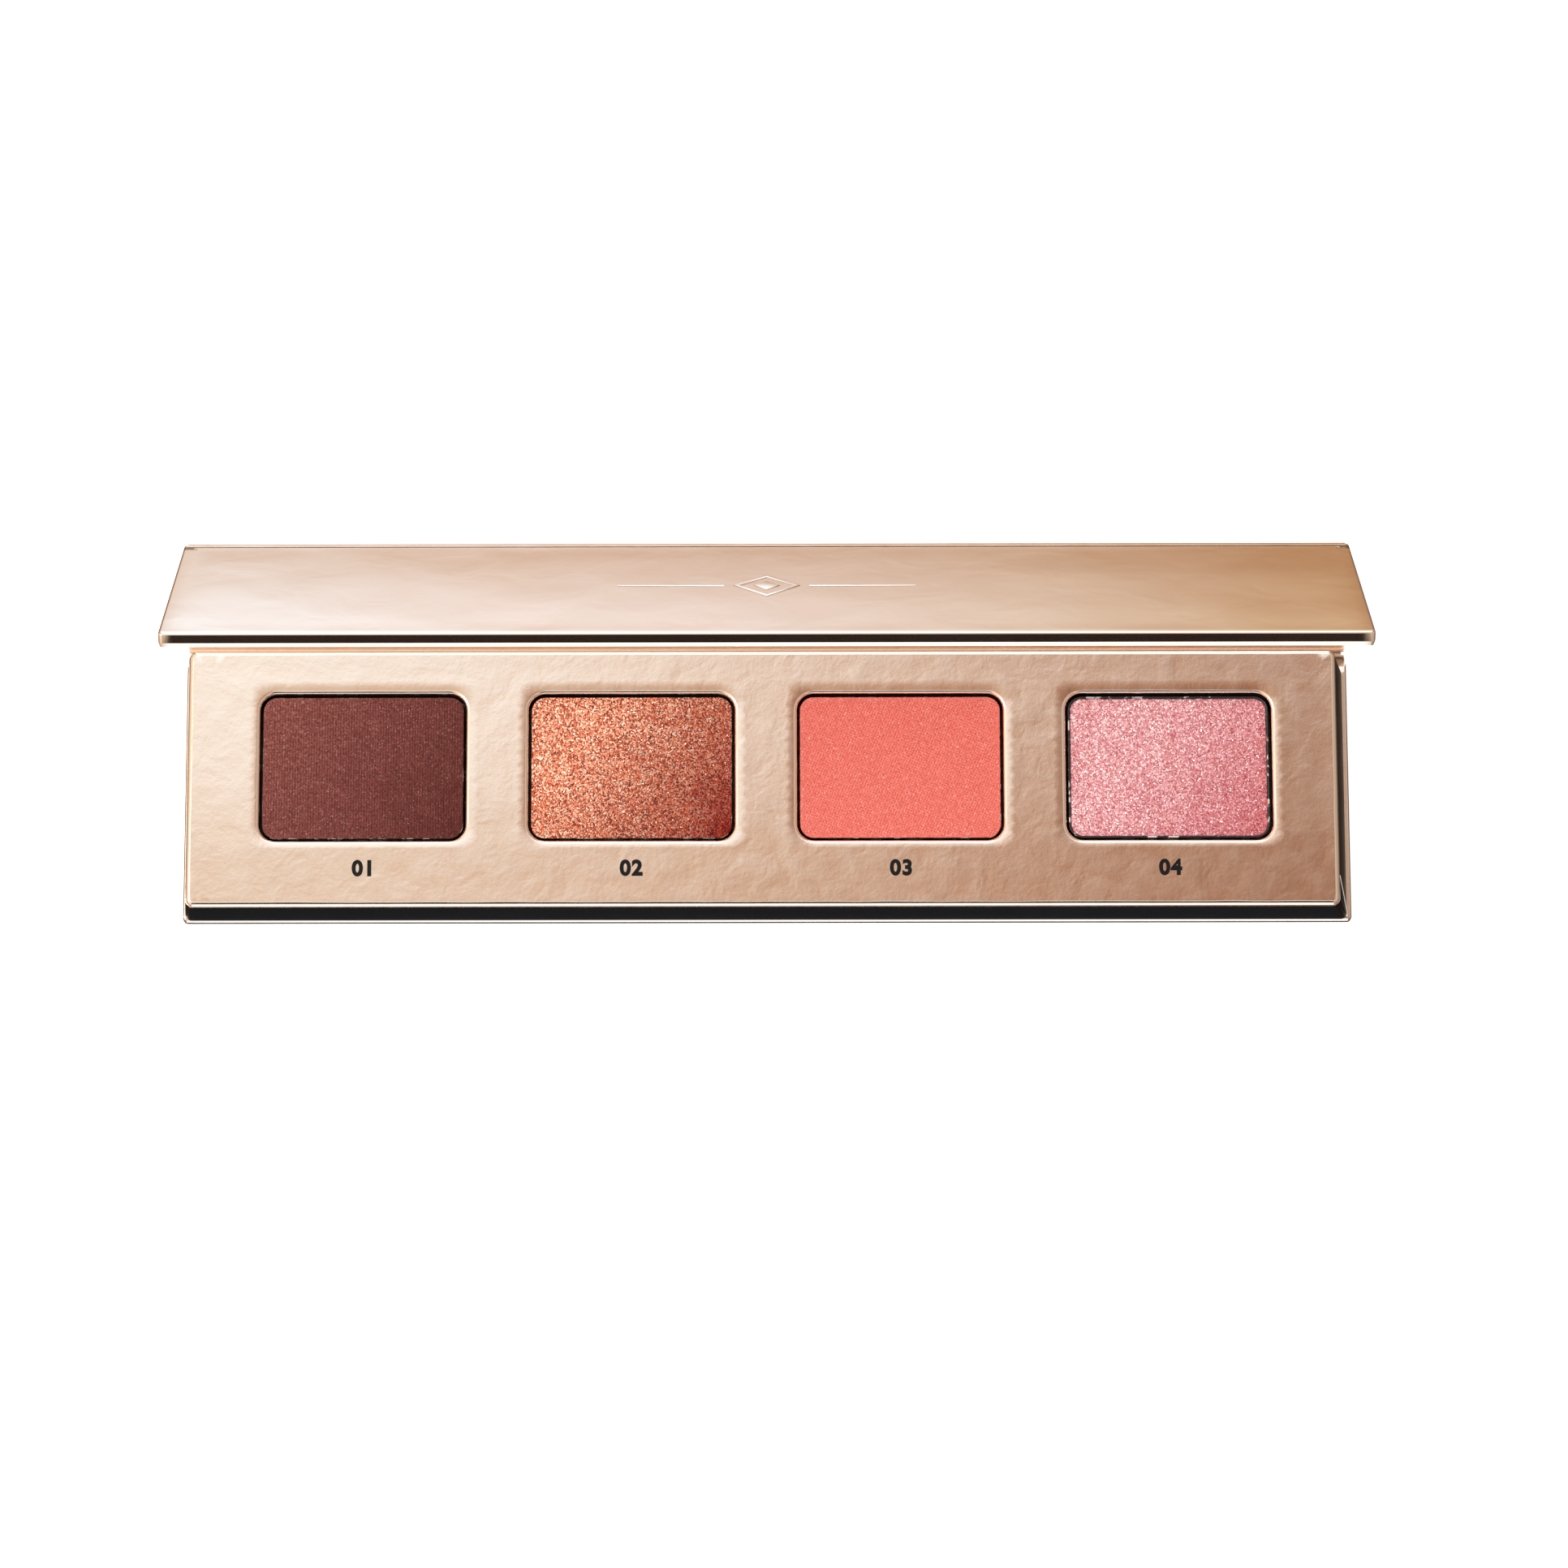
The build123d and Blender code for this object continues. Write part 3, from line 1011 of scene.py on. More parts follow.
@dataclass
class HingeFoil:
    """The foil over a crease, bent round it."""

    name: str
    origin: Vector
    first_turn: float
    second_turn: float
    length: float = 119.2
    leaf: float = 1.2
    sheet: float = 0.09
    fold: float = 0.3
    columns: int = 80
    span: float = 0.35

    def section(self) -> list[tuple[Vector, Vector]]:
        """Points across the strip's outer face, each with its inward direction."""
        way_1, inward_1 = directions(self.first_turn)
        way_2, inward_2 = directions(self.second_turn)
        bend = self.second_turn - self.first_turn
        back = self.fold * math.tan(math.radians(bend) / 2)
        centre = self.origin - way_1 * back + inward_1 * self.fold
        line = [
            (self.origin - way_1 * (self.leaf + (back - self.leaf) * i / 3), inward_1)
            for i in range(3)
        ]
        for i in range(9):
            inward = directions(self.first_turn + bend * i / 8)[1]
            line.append((centre - inward * self.fold, inward))
        return line + [
            (self.origin + way_2 * (back + (self.leaf - back) * i / 3), inward_2)
            for i in range(1, 4)
        ]

    def build(self, material: Any, first: str, second: str, node: str) -> None:
        """Make the strip, slightly uneven along its length.

        Args:
            material: Its foil.
            first: Body on the near side of the crease.
            second: Body on the far side.
            node: CAD node that the strip stands for.
        """
        draft = MeshDraft()
        line = self.section()
        rows = []
        for i in range(self.columns + 1):
            x = -self.length / 2 + self.length * i / self.columns
            outer, inner = [], []
            for k, (point, inward) in enumerate(line):
                lift = 0.01 * (1 + ripple(x, k * 0.4, 3.0, self.first_turn))
                for side, depth in ((outer, lift), (inner, lift + self.sheet)):
                    p = point + inward * depth
                    side.append((x, p.y, p.z))
            rows.append(draft.loop(outer + inner[::-1]))
        draft.stack(rows)
        piece = draft.build(self.name, material, sharp=60.0)
        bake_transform(piece)
        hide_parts(node)
        LOG.info("%s bends between %s and %s", piece.name, first, second)


@dataclass
class Ornament:
    """A plain raised lozenge between two rules, pressed in the middle of the lid."""

    cover: FoilCover
    middle: float = 14.1
    half_length: float = 15.0
    rule: float = 0.42
    lozenge: float = 3.4
    heart: float = 1.35
    band: float = 0.55
    height: float = 0.1
    root: float = 0.05

    def build(self, material: Any) -> None:
        """Make the ornament and put it on the lid."""
        draft = MeshDraft()
        outside = self.raise_edge(draft, self.lozenge, 1)
        opening = self.raise_edge(draft, self.lozenge - self.band * math.sqrt(2), -1)
        draft.bridge(outside[-1], opening[-1])
        draft.bridge(outside[0], opening[0])
        heart = self.raise_edge(draft, self.heart, 1)
        draft.cap(heart[0])
        draft.cap(heart[-1])
        for sign in (-1, 1):
            self.raise_rule(draft, sign)
        put_on(draft.build("lid_ornament", material, sharp=35.0), "lid")

    def raise_edge(self, draft: MeshDraft, size: float, way: int) -> list[list[int]]:
        """Add the softened side of a lozenge.

        Args:
            draft: Draft that gets the side.
            size: Distance of its corners from the middle.
            way: 1 where the side rounds inward, -1 where it rounds outward.

        Returns:
            The side's rings, from its root to its top.
        """
        rings = []
        for inset, rise in ((0.0, None), (0.0, 0.4), (0.07, 0.85), (0.16, 1.0)):
            depth = self.root if rise is None else -rise * self.height
            s = size - way * inset
            corners = ((s, 0.0), (0.0, s), (-s, 0.0), (0.0, -s))
            rings.append(draft.loop(
                self.cover.place(x, self.middle + u, depth) for x, u in corners
            ))
        draft.stack(rings, capped=False)
        return rings

    def raise_rule(self, draft: MeshDraft, sign: int) -> None:
        """Add one long tapering rule as a ridge, at the left for -1 and the right for 1."""
        near, steps, rows = self.lozenge + 0.9, 8, []
        for i in range(steps + 1):
            x = sign * (near + (self.half_length - near) * i / steps)
            side = self.rule / 2 * (1 - 0.6 * i / steps)
            face = 0.4 * side
            rows.append(draft.loop(self.cover.place(x, self.middle + u, depth) for u, depth in (
                (-side, self.root), (-side, -0.3 * self.height), (-face, -self.height),
                (face, -self.height), (side, -0.3 * self.height), (side, self.root),
            )))
        draft.stack(rows)


@dataclass
class Case:
    """The base, spine and lid in their foil, with the hinge foil and the lid's ornament."""

    finishes: Finishes
    depth: float = 28.4

    def build(self) -> None:
        """Build the covers, the hinge foil and the ornament, and put the covers and the ornament on
        their bodies.
        """
        f = self.finishes
        first, second = crease("spine_hinge"), crease("lid_hinge")
        height, lid_turn = (second - first).length, SPINE_TURN + LID_TURN
        base = FoilCover(
            "base_foil", "base", first, 180.0, self.depth, inside_up=True, step_x=2.0
        )
        spine = FoilCover("spine_foil", "spine", first, SPINE_TURN, height, far=End.MITRED)
        lid = FoilCover("lid_foil", "lid", second, lid_turn, self.depth, bow=0.08)
        for cover, foil in ((base, f.case_foil), (spine, f.case_foil), (lid, f.lid_foil)):
            put_on(cover.build(foil), cover.body, f"{cover.body}_wrap")
        HingeFoil("lower_hinge_foil", first, 0.0, SPINE_TURN).build(
            f.case_foil, "base", "spine", "lower_hinge_paper"
        )
        HingeFoil("upper_hinge_foil", second, SPINE_TURN, lid_turn).build(
            f.case_foil, "spine", "lid", "upper_hinge_paper"
        )
        Ornament(lid).build(f.mark_foil)


# --- Tray --------------------------------------------------------------------------------


@dataclass
class Panel:
    """The foil-faced card on top of the tray, its edges and windows rolled over."""

    material: Any
    corner: float = 0.7
    window_corner: float = 1.7
    window_gap: float = 0.25
    roll: float = 0.5
    window_roll: float = 0.38
    bed: float = 0.62
    bed_gap: float = 0.4
    crown: float = 0.1
    wave: float = 0.0065
    lip: float = 0.5
    lip_stand: float = 0.05
    lip_bevel: float = 0.05
    card: float = 0.1

    def build(self) -> None:
        """Make the panel and put it on the base."""
        bottom, top = heights("tray_panel")
        outer = box_outline("tray_panel", self.corner)
        windows = [
            box_outline(f"pan_{n}", self.window_corner, self.window_gap) for n in range(1, 5)
        ]
        draft = MeshDraft()
        middle = (outer.front + outer.rear) / 2
        reach = (outer.rear - outer.front) / 2
        edge_foot = bottom - self.lip
        outside_foot = (
            (-self.lip_stand, bottom), (-self.lip_stand, edge_foot + self.lip_bevel),
            (0.0, edge_foot), (self.card, edge_foot), (self.card, bottom),
        )

        def sag(y: float) -> float:
            return self.crown * max(0.0, (middle - y) / reach) ** 2

        def rolled(outline: Outline, roll: float, way: int) -> list[list[int]]:
            def line(inset: float) -> list[Flat]:
                return outline.inset(inset).loop(self.bed, 8, like=outline)

            rings = []
            for step, a in enumerate(arc(0, 90, 6)):
                flat = line(way * roll * (1 - math.sin(a)))
                drop = roll * (1 - math.cos(a))
                rings.append(draft.loop(
                    (x, y, top - drop - sag(y))
                    for x, y in self.wander(flat, outline, roll, step, way)
                ))
            for inset, height in outside_foot if way > 0 else ((0.0, bottom),):
                rings.append(draft.ring(line(inset), height))
            draft.stack(rings, capped=False)
            return rings

        def top_point(x: float, y: float) -> Point:
            edge = outer.depth_in(x, y)
            for w in windows:
                aside, ahead = max(w.left - x, x - w.right, 0.0), max(w.front - y, y - w.rear, 0.0)
                edge = min(edge, math.hypot(aside, ahead))
            wave = self.wave * (ripple(x, y, 2.4) + 0.5 * ripple(x * 1.3 + y, y, 1.5, 4.0) - 0.8)
            return (x, y, top - sag(y) + wave * held((edge - 0.5) / 1.2))

        outside = rolled(outer, self.roll, 1)
        holes = [rolled(window, self.window_roll, -1) for window in windows]
        for end, bed in ((0, self.bed_points(outer, windows)), (-1, [])):
            draft.fill(
                outside[end], [hole[end] for hole in holes], lambda n: draft.points[n][:2],
                bed, top_point,
            )
        piece = draft.build("tray_top_foil", self.material, sharp=60.0)
        put_on(piece, "base", "tray_panel")

    def wander(
        self, flat: Sequence[Flat], outline: Outline, roll: float, step: int, way: int,
    ) -> list[Flat]:
        """Let a rolled edge's inner line wander a little, as hand-turned foil does.

        Args:
            flat: Points of the ring.
            outline: Outline that the roll follows.
            roll: Radius of the roll.
            step: Number of the ring, 0 at the flat top.
            way: 1 for an outer edge, -1 for a window.

        Returns:
            The moved points.
        """
        middle = outline.middle()
        share = 0.16 * roll * max(0.0, 1 - step / 5)
        moved = []
        for x, y in flat:
            amount = way * share * ripple(x, y, 3.2, 9.0 + way)
            side_x = min(abs(x - outline.left), abs(x - outline.right))
            side_y = min(abs(y - outline.front), abs(y - outline.rear))
            if side_x < side_y:
                moved.append((x + amount * (1 if x < middle[0] else -1), y))
            else:
                moved.append((x, y + amount * (1 if y < middle[1] else -1)))
        return moved

    def bed_points(self, outer: Outline, windows: Sequence[Outline]) -> list[Flat]:
        """Points of the flat top, clear of the outline and the windows."""
        clear = self.window_roll + self.bed_gap
        points = []
        for i in range(int((outer.right - outer.left) / self.bed)):
            for j in range(int((outer.rear - outer.front) / self.bed)):
                x = outer.left + self.bed * (i + (0.75 if j % 2 else 0.25))
                y = outer.front + self.bed * (j + 0.5)
                free = outer.depth_in(x, y) >= self.roll + self.bed_gap
                if free and all(window.depth_in(x, y) <= -clear for window in windows):
                    points.append((x, y))
        return points


@dataclass
class Walls:
    """The side paper of the tray, coloured near black as a painted dark reflection, and the folded
    flaps at its front corners.
    """

    finishes: Finishes
    flare_left: float = 0.75
    flare_right: float = 1.48
    corner: float = 0.6
    paper: float = 0.2
    levels: int = 12
    bulge: float = 0.03
    stand: float = 0.05
    edge_width: float = 0.17

    def outline_at(self, share: float) -> Outline:
        """The tray's outline at a share of its height, 0 at the foot."""
        top = box_outline("tray_panel", self.corner)
        return Outline(
            top.left - self.flare_left * (1 - share), top.right + self.flare_right * (1 - share),
            top.front, top.rear, self.corner,
        )

    def build(self) -> None:
        """Build the side paper and its flaps."""
        bottom, top = heights("tray_side_wrap")
        model = self.outline_at(0.0)
        draft = MeshDraft()

        def ring(share: float, inset: float) -> list[int]:
            hollow = 0.0 if inset else math.sin(math.pi * share) * self.bulge
            points = []
            for x, y in self.outline_at(share).inset(inset).loop(0.9, 6, like=model):
                dent = hollow * (1 + ripple(x, y + 5 * share, 9.0, 2.0))
                points.append((x, y + math.copysign(dent, -y), bottom + (top - bottom) * share))
            return draft.loop(points)

        rings = [ring(i / self.levels, 0.0) for i in range(self.levels + 1)]
        rings += [ring(1.0, self.paper), ring(0.0, self.paper)]
        draft.stack([*rings, rings[0]], capped=False)
        piece = draft.build("tray_wall_foil", self.finishes.painted_dark_wall_foil, sharp=60.0)
        put_on(piece, "base", "tray_side_wrap")
        for end, side, back in (("right", 1, 3.1), ("left", -1, 2.4)):
            self.flap(end, side, back, 0.0)
            self.flap(end, side, back, self.edge_width)

    def flap(self, end: str, side: int, back: float, width: float) -> None:
        """Build one flap of the front paper folded round a corner and cut on a slant, or its edge.

        Args:
            end: Which end of the tray it is on.
            side: 1 for the right end, -1 for the left.
            back: How far the flap reaches back at the top.
            width: Width of the pale cut edge, or 0 for the flap itself.
        """
        bottom, top = heights("tray_side_wrap")
        foot, head = (self.outline_at(share) for share in (0.0, 1.0))
        low, high = (foot.right, head.right) if side > 0 else (foot.left, head.left)
        tucked = 0.7 * self.corner
        front = foot.front + tucked
        lift, heel = (2 * self.stand, 0.03) if width else (self.stand, 0.0)
        draft = MeshDraft()
        rows = []
        for i in range(17):
            share = i / 16
            height = bottom + 0.05 + (top - bottom - 0.1) * share
            x = low + (high - low) * share
            far = front + (back - tucked) * share ** 0.85
            near = far - width if width else front
            rows.append(draft.loop((x + side * out, y, height) for out, y in (
                (lift, near), (lift, far), (-self.stand, far + heel), (-self.stand, near),
            )))
        draft.stack(rows)
        name = f"flap_edge_{end}" if width else f"flap_{end}"
        # The flap gets the walls' near-black painted dark reflection; its cut edge is pale.
        foil = self.finishes.fold_edge if width else self.finishes.painted_dark_wall_foil
        piece = draft.build(name, foil, sharp=30.0)
        put_on(piece, "base")


class Press(Enum):
    """How a powder's face is pressed."""

    LINEN = "linen"
    DIMPLED = "dimpled"
    LOOSE = "loose"


@dataclass(frozen=True)
class PressRule:
    """Sizes of a press in metres: its pattern, its grain and the bed that carries them."""

    pitch: float
    row_pitch: float
    depth: float
    dimples: float
    slant: float
    grain: float
    grain_scale: float
    bed: Flat

    def inputs(self) -> dict[str, float]:
        """The press tree's inputs."""
        return {
            "Pitch": self.pitch, "Row pitch": self.row_pitch, "Depth": self.depth,
            "Dimples": self.dimples, "Slant": math.radians(self.slant), "Grain": self.grain,
            "Grain scale": self.grain_scale,
        }


PRESS_RULES = {
    Press.LINEN: PressRule(
        0.00027, 0.00036, 0.00004, 0.25, 0.0, 0.000006, 3000.0, (0.068, 0.15)
    ),
    Press.DIMPLED: PressRule(
        0.00038, 0.00038, 0.00007, 0.85, 22.0, 0.00001, 2500.0, (0.1, 0.1)
    ),
    Press.LOOSE: PressRule(0.0007, 0.0007, 0.0, 0.0, 0.0, 0.00002, 4500.0, (0.14, 0.14)),
}


@dataclass
class Shade:
    """One powder: its number, how its face is pressed, its finish and its flakes."""

    number: int
    press: Press
    finish: PowderFinish
    flakes: FlakeFinish
    flake_count: int
    flake_size: float
    tilt: float
    over: float = 0.15


@dataclass
class PressedPan:
    """A tinplate pan with a curled rim, its cake of powder and the flakes in its face."""

    shade: Shade
    tinplate: Any
    press_tree: RuleTree
    flake_tree: RuleTree
    pan_corner: float = 1.45
    sheet: float = 0.18
    bead: float = 0.11
    foot: float = 0.4
    edge: float = 0.12
    clearance: float = 0.02
    flake_area: float = 20.0e-3 * 14.3e-3

    def build(self) -> None:
        """Build the pan, the cake and the flakes, and put them on the base."""
        n, slot = self.shade.number, self.shade.finish.name
        put_on(self.build_pan(n), "base", f"pan_{n}")
        cake = self.build_cake(n)
        put_on(cake, "base", f"powder_{n}")
        put_on(self.build_flakes(n, cake), "base")

    def build_pan(self, n: int) -> Any:
        """Make the pan: foot, wall, curled rim, inner wall and floor."""
        bottom, rim = heights(f"pan_{n}")
        outer = box_outline(f"pan_{n}", self.pan_corner)
        draft = MeshDraft()
        rows = [
            (self.foot * (1 - math.sin(a)), bottom + self.foot * (1 - math.cos(a)))
            for a in arc(0, 90, 4)
        ]
        curl = rim - 4 * self.bead
        rows.append((0.02, curl))
        rows += [
            (self.bead + 0.001 + self.bead * math.cos(a), rim - self.bead + self.bead * math.sin(a))
            for a in arc(180, 0, 8)
        ]
        rows += [
            (self.sheet, curl), (self.sheet, bottom + self.foot),
            (self.sheet + 0.3, bottom + self.sheet),
        ]
        draft.stack([
            draft.ring(outer.inset(inset).loop(1.6, 8, like=outer), height)
            for inset, height in rows
        ])
        return draft.build(f"pan_tin_{n}", self.tinplate, sharp=60.0)

    def build_cake(self, n: int) -> Any:
        """Make the cake: a fine bed on top that the press shapes, and plain sides."""
        bottom, top = heights(f"powder_{n}")
        over, rule = self.shade.over, PRESS_RULES[self.shade.press]
        corner = self.pan_corner - self.sheet - self.clearance + over
        face = box_outline(f"powder_{n}", corner, over).inset(self.edge)
        lip = 0.05 if over else self.edge
        columns = round((face.right - face.left) / rule.bed[0])
        rows = round((face.rear - face.front) / rule.bed[1])
        draft = MeshDraft()
        numbers = [
            draft.ring([self.rounded(face, i / columns, j / rows) for i in range(columns + 1)], top)
            for j in range(rows + 1)
        ]
        draft.stack(numbers, capped=False, closed=False)
        rim = (numbers[0][:-1] + [row[-1] for row in numbers[:-1]] + numbers[-1][:0:-1]
               + [row[0] for row in numbers[:0:-1]])
        sides = [
            (self.edge * math.sin(a), top - lip * (1 - math.cos(a))) for a in arc(0, 90, 3, 1)
        ]
        inward = self.edge - over - self.clearance
        sides += [(inward, top - lip - 0.002), (inward, bottom)]
        rings = [rim] + [
            draft.loop(
                self.outward(face, draft.points[number], spread, height, n) for number in rim
            )
            for spread, height in sides
        ]
        draft.stack(rings, capped=False)
        draft.cap(rings[-1])
        material = self.shade.finish.material()
        plain = draft.build(f"cake_plain_{n}", material)
        mark = plain.data.attributes.new("pressed", "FLOAT", "POINT")
        for vertex in plain.data.vertices:
            x, y, z = vertex.co / MM
            on_top = z > top - 0.001
            mark.data[vertex.index].value = held(face.depth_in(x, y) / 0.35) if on_top else 0.0
        values = {**rule.inputs(), "Material": material}
        cake = self.press_tree.apply(plain, f"powder_cake_{n}", values, sharp=80.0)
        bpy.data.objects.remove(plain)
        return cake

    @staticmethod
    def rounded(face: Outline, s: float, t: float) -> Flat:
        """A point of a square bed laid into a rounded rectangle."""
        x = face.left + (face.right - face.left) * s
        y = face.front + (face.rear - face.front) * t
        (cx, cy), c = face.middle(), face.corner
        inner_x = (face.right - face.left) / 2 - c
        inner_y = (face.rear - face.front) / 2 - c
        u, v = (abs(x - cx) - inner_x) / c, (abs(y - cy) - inner_y) / c
        if u <= 0 or v <= 0:
            return (x, y)
        ru, rv = u * math.sqrt(1 - v * v / 2), v * math.sqrt(1 - u * u / 2)
        return (
            cx + math.copysign(inner_x + ru * c, x - cx),
            cy + math.copysign(inner_y + rv * c, y - cy),
        )

    @staticmethod
    def outward(face: Outline, point: Point, spread: float, height: float, n: int) -> Point:
        """A point moved out from the face's rim, slightly crumbled."""
        x, y, _ = point
        cx = min(max(x, face.left + face.corner), face.right - face.corner)
        cy = min(max(y, face.front + face.corner), face.rear - face.corner)
        way = Vector((x - cx, y - cy))
        way = way.normalized() if way.length > 1e-6 else Vector((0, 0))
        crumb = 0.5 * spread * max(0.0, ripple(x, y, 0.5, n * 3.0))
        return (x + way.x * (spread - crumb), y + way.y * (spread - crumb), height)

    def build_flakes(self, n: int, cake: Any) -> Any:
        """Scatter the flakes over the cake's face."""
        shade = self.shade
        values = {
            "Density": shade.flake_count / self.flake_area, "Size": shade.flake_size * MM,
            "Tilt": shade.tilt, "Seed": float(n * 7 + 3), "Material": shade.flakes.material(),
        }
        return self.flake_tree.apply(cake, f"powder_flakes_{n}", values, sharp=20.0)


def pressed_mark(tree: Any) -> Any:
    """The mark of a cake's pressed face, 0 to 1."""
    return add_node(
        tree, "GeometryNodeInputNamedAttribute", {"Name": "pressed"}, data_type="FLOAT"
    ).outputs[0]


def make_press_tree() -> RuleTree:
    """The press: ribs, dimples and loose grain set into a cake's marked face, with the pattern kept
    for the powder's painted shade in the hollows.
    """
    rule = RuleTree("press_face", PRESS_RULES[Press.LINEN].inputs())
    tree, given = rule.tree, rule.given

    def times(first: Any, second: Any) -> Any:
        return calc(tree, "MULTIPLY", first, second)

    def wave(place: Any, pitch: Any) -> Any:
        return calc(tree, "COSINE", times(calc(tree, "DIVIDE", place, pitch), 2 * math.pi))

    place = add_node(tree, "GeometryNodeInputPosition").outputs[0]
    x, y, _ = add_node(tree, "ShaderNodeSeparateXYZ", {0: place}).outputs
    cosine, sine = calc(tree, "COSINE", given["Slant"]), calc(tree, "SINE", given["Slant"])
    along = calc(tree, "ADD", times(x, cosine), times(y, sine))
    across = calc(tree, "SUBTRACT", times(y, cosine), times(x, sine))
    rib, row = wave(along, given["Pitch"]), wave(across, given["Row pitch"])
    plain = times(rib, calc(tree, "SUBTRACT", 1.0, given["Dimples"]))
    pattern = calc(tree, "ADD", plain, times(times(rib, row), given["Dimples"]))
    loose = calc(tree, "SUBTRACT", cloud(tree, place, given["Grain scale"], 2.0), 0.5)
    grain = times(loose, times(given["Grain"], 2.0))
    mark = pressed_mark(tree)
    lift = times(calc(tree, "ADD", times(pattern, given["Depth"]), grain), mark)
    # The pattern is kept as the hollow attribute, which the powder material reads for its painted
    # shade in the hollows.
    noted = add_node(
        tree, "GeometryNodeStoreNamedAttribute",
        {"Geometry": given["Geometry"], "Name": "hollow", "Value": times(pattern, mark)},
        data_type="FLOAT",
    )
    offset = add_node(tree, "ShaderNodeCombineXYZ", {2: lift}).outputs[0]
    moved = add_node(
        tree, "GeometryNodeSetPosition", {"Geometry": noted.outputs[0], "Offset": offset}
    )
    rule.close(moved.outputs[0])
    return rule


def make_flake_tree() -> RuleTree:
    """The scatter: small five-sided flakes lying at random tilts on a cake's marked face."""
    rule = RuleTree("scatter_flakes", {"Density": 1e7, "Size": 0.00005, "Tilt": 0.5, "Seed": 1.0})
    tree, given = rule.tree, rule.given
    chosen = add_node(
        tree, "FunctionNodeCompare", {0: pressed_mark(tree), 1: 0.4}, data_type="FLOAT",
        operation="GREATER_THAN",
    )
    spots = add_node(
        tree, "GeometryNodeDistributePointsOnFaces",
        {"Mesh": given["Geometry"], "Selection": chosen.outputs[0], "Density": given["Density"],
         "Seed": given["Seed"]},
    )
    low, high = calc(tree, "MULTIPLY", given["Tilt"], -1.0), given["Tilt"]
    lowest, highest = (
        add_node(tree, "ShaderNodeCombineXYZ", {0: tilt, 1: tilt, 2: turn}).outputs[0]
        for tilt, turn in ((low, 0.0), (high, 6.28))
    )
    lean = add_node(
        tree, "FunctionNodeRandomValue", {"Min": lowest, "Max": highest, "Seed": given["Seed"]},
        data_type="FLOAT_VECTOR",
    )
    turn = add_node(tree, "FunctionNodeEulerToRotation", {0: lean.outputs[0]})
    size = add_node(
        tree, "FunctionNodeRandomValue", {2: 0.5, 3: 1.3, "Seed": 5}, data_type="FLOAT"
    )
    thickness = calc(tree, "MULTIPLY", given["Size"], 0.35)
    flake = add_node(
        tree, "GeometryNodeMeshCylinder",
        {"Vertices": 5, "Radius": given["Size"], "Depth": thickness},
    )
    laid = add_node(
        tree, "GeometryNodeInstanceOnPoints",
        {"Points": spots.outputs[0], "Instance": flake.outputs[0], "Rotation": turn.outputs[0],
         "Scale": size.outputs[1]},
    )
    rule.close(laid.outputs[0])
    return rule


@dataclass
class Numbers:
    """The plain numbers printed below the pans."""

    material: Any
    capital: float = 1.7
    below: float = 3.1
    ink: float = 0.012
    root: float = 0.05

    def build(self) -> None:
        """Build one number below each window."""
        height = heights("tray_panel")[1] - self.root
        for n in range(1, 5):
            low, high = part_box(f"pan_{n}")
            middle = (low.x + high.x) / 2 / MM
            piece = self.number(f"{n:02d}", (middle, low.y / MM - self.below), height)
            put_on(piece, "base")

    def number(self, text: str, middle: Flat, height: float) -> Any:
        """Make one printed number.

        Args:
            text: The number.
            middle: Middle of the number.
            height: Height of the print's underside.

        Returns:
            The object.
        """
        curve = bpy.data.curves.new(f"type_{text}", "FONT")
        curve.body = text
        curve.size = 1.0
        curve.offset = 0.045
        curve.space_character = 1.12
        curve.extrude = 0.02
        source = add_object(f"type_{text}", curve)
        mesh = plain_mesh(source)
        bpy.data.objects.remove(source)
        lows, highs = (
            [pick(v.co[axis] for v in mesh.vertices) for axis in range(3)] for pick in (min, max)
        )
        scale = self.capital / (highs[1] - lows[1])
        rise = (self.ink + self.root) / (highs[2] - lows[2])
        for vertex in mesh.vertices:
            x, y = (
                middle[axis] + (vertex.co[axis] - (lows[axis] + highs[axis]) / 2) * scale
                for axis in range(2)
            )
            vertex.co = Vector((x, y, height + (vertex.co.z - lows[2]) * rise)) * MM
        clean_mesh(mesh)
        return finish_object(f"number_{text}", mesh, self.material, 30.0)


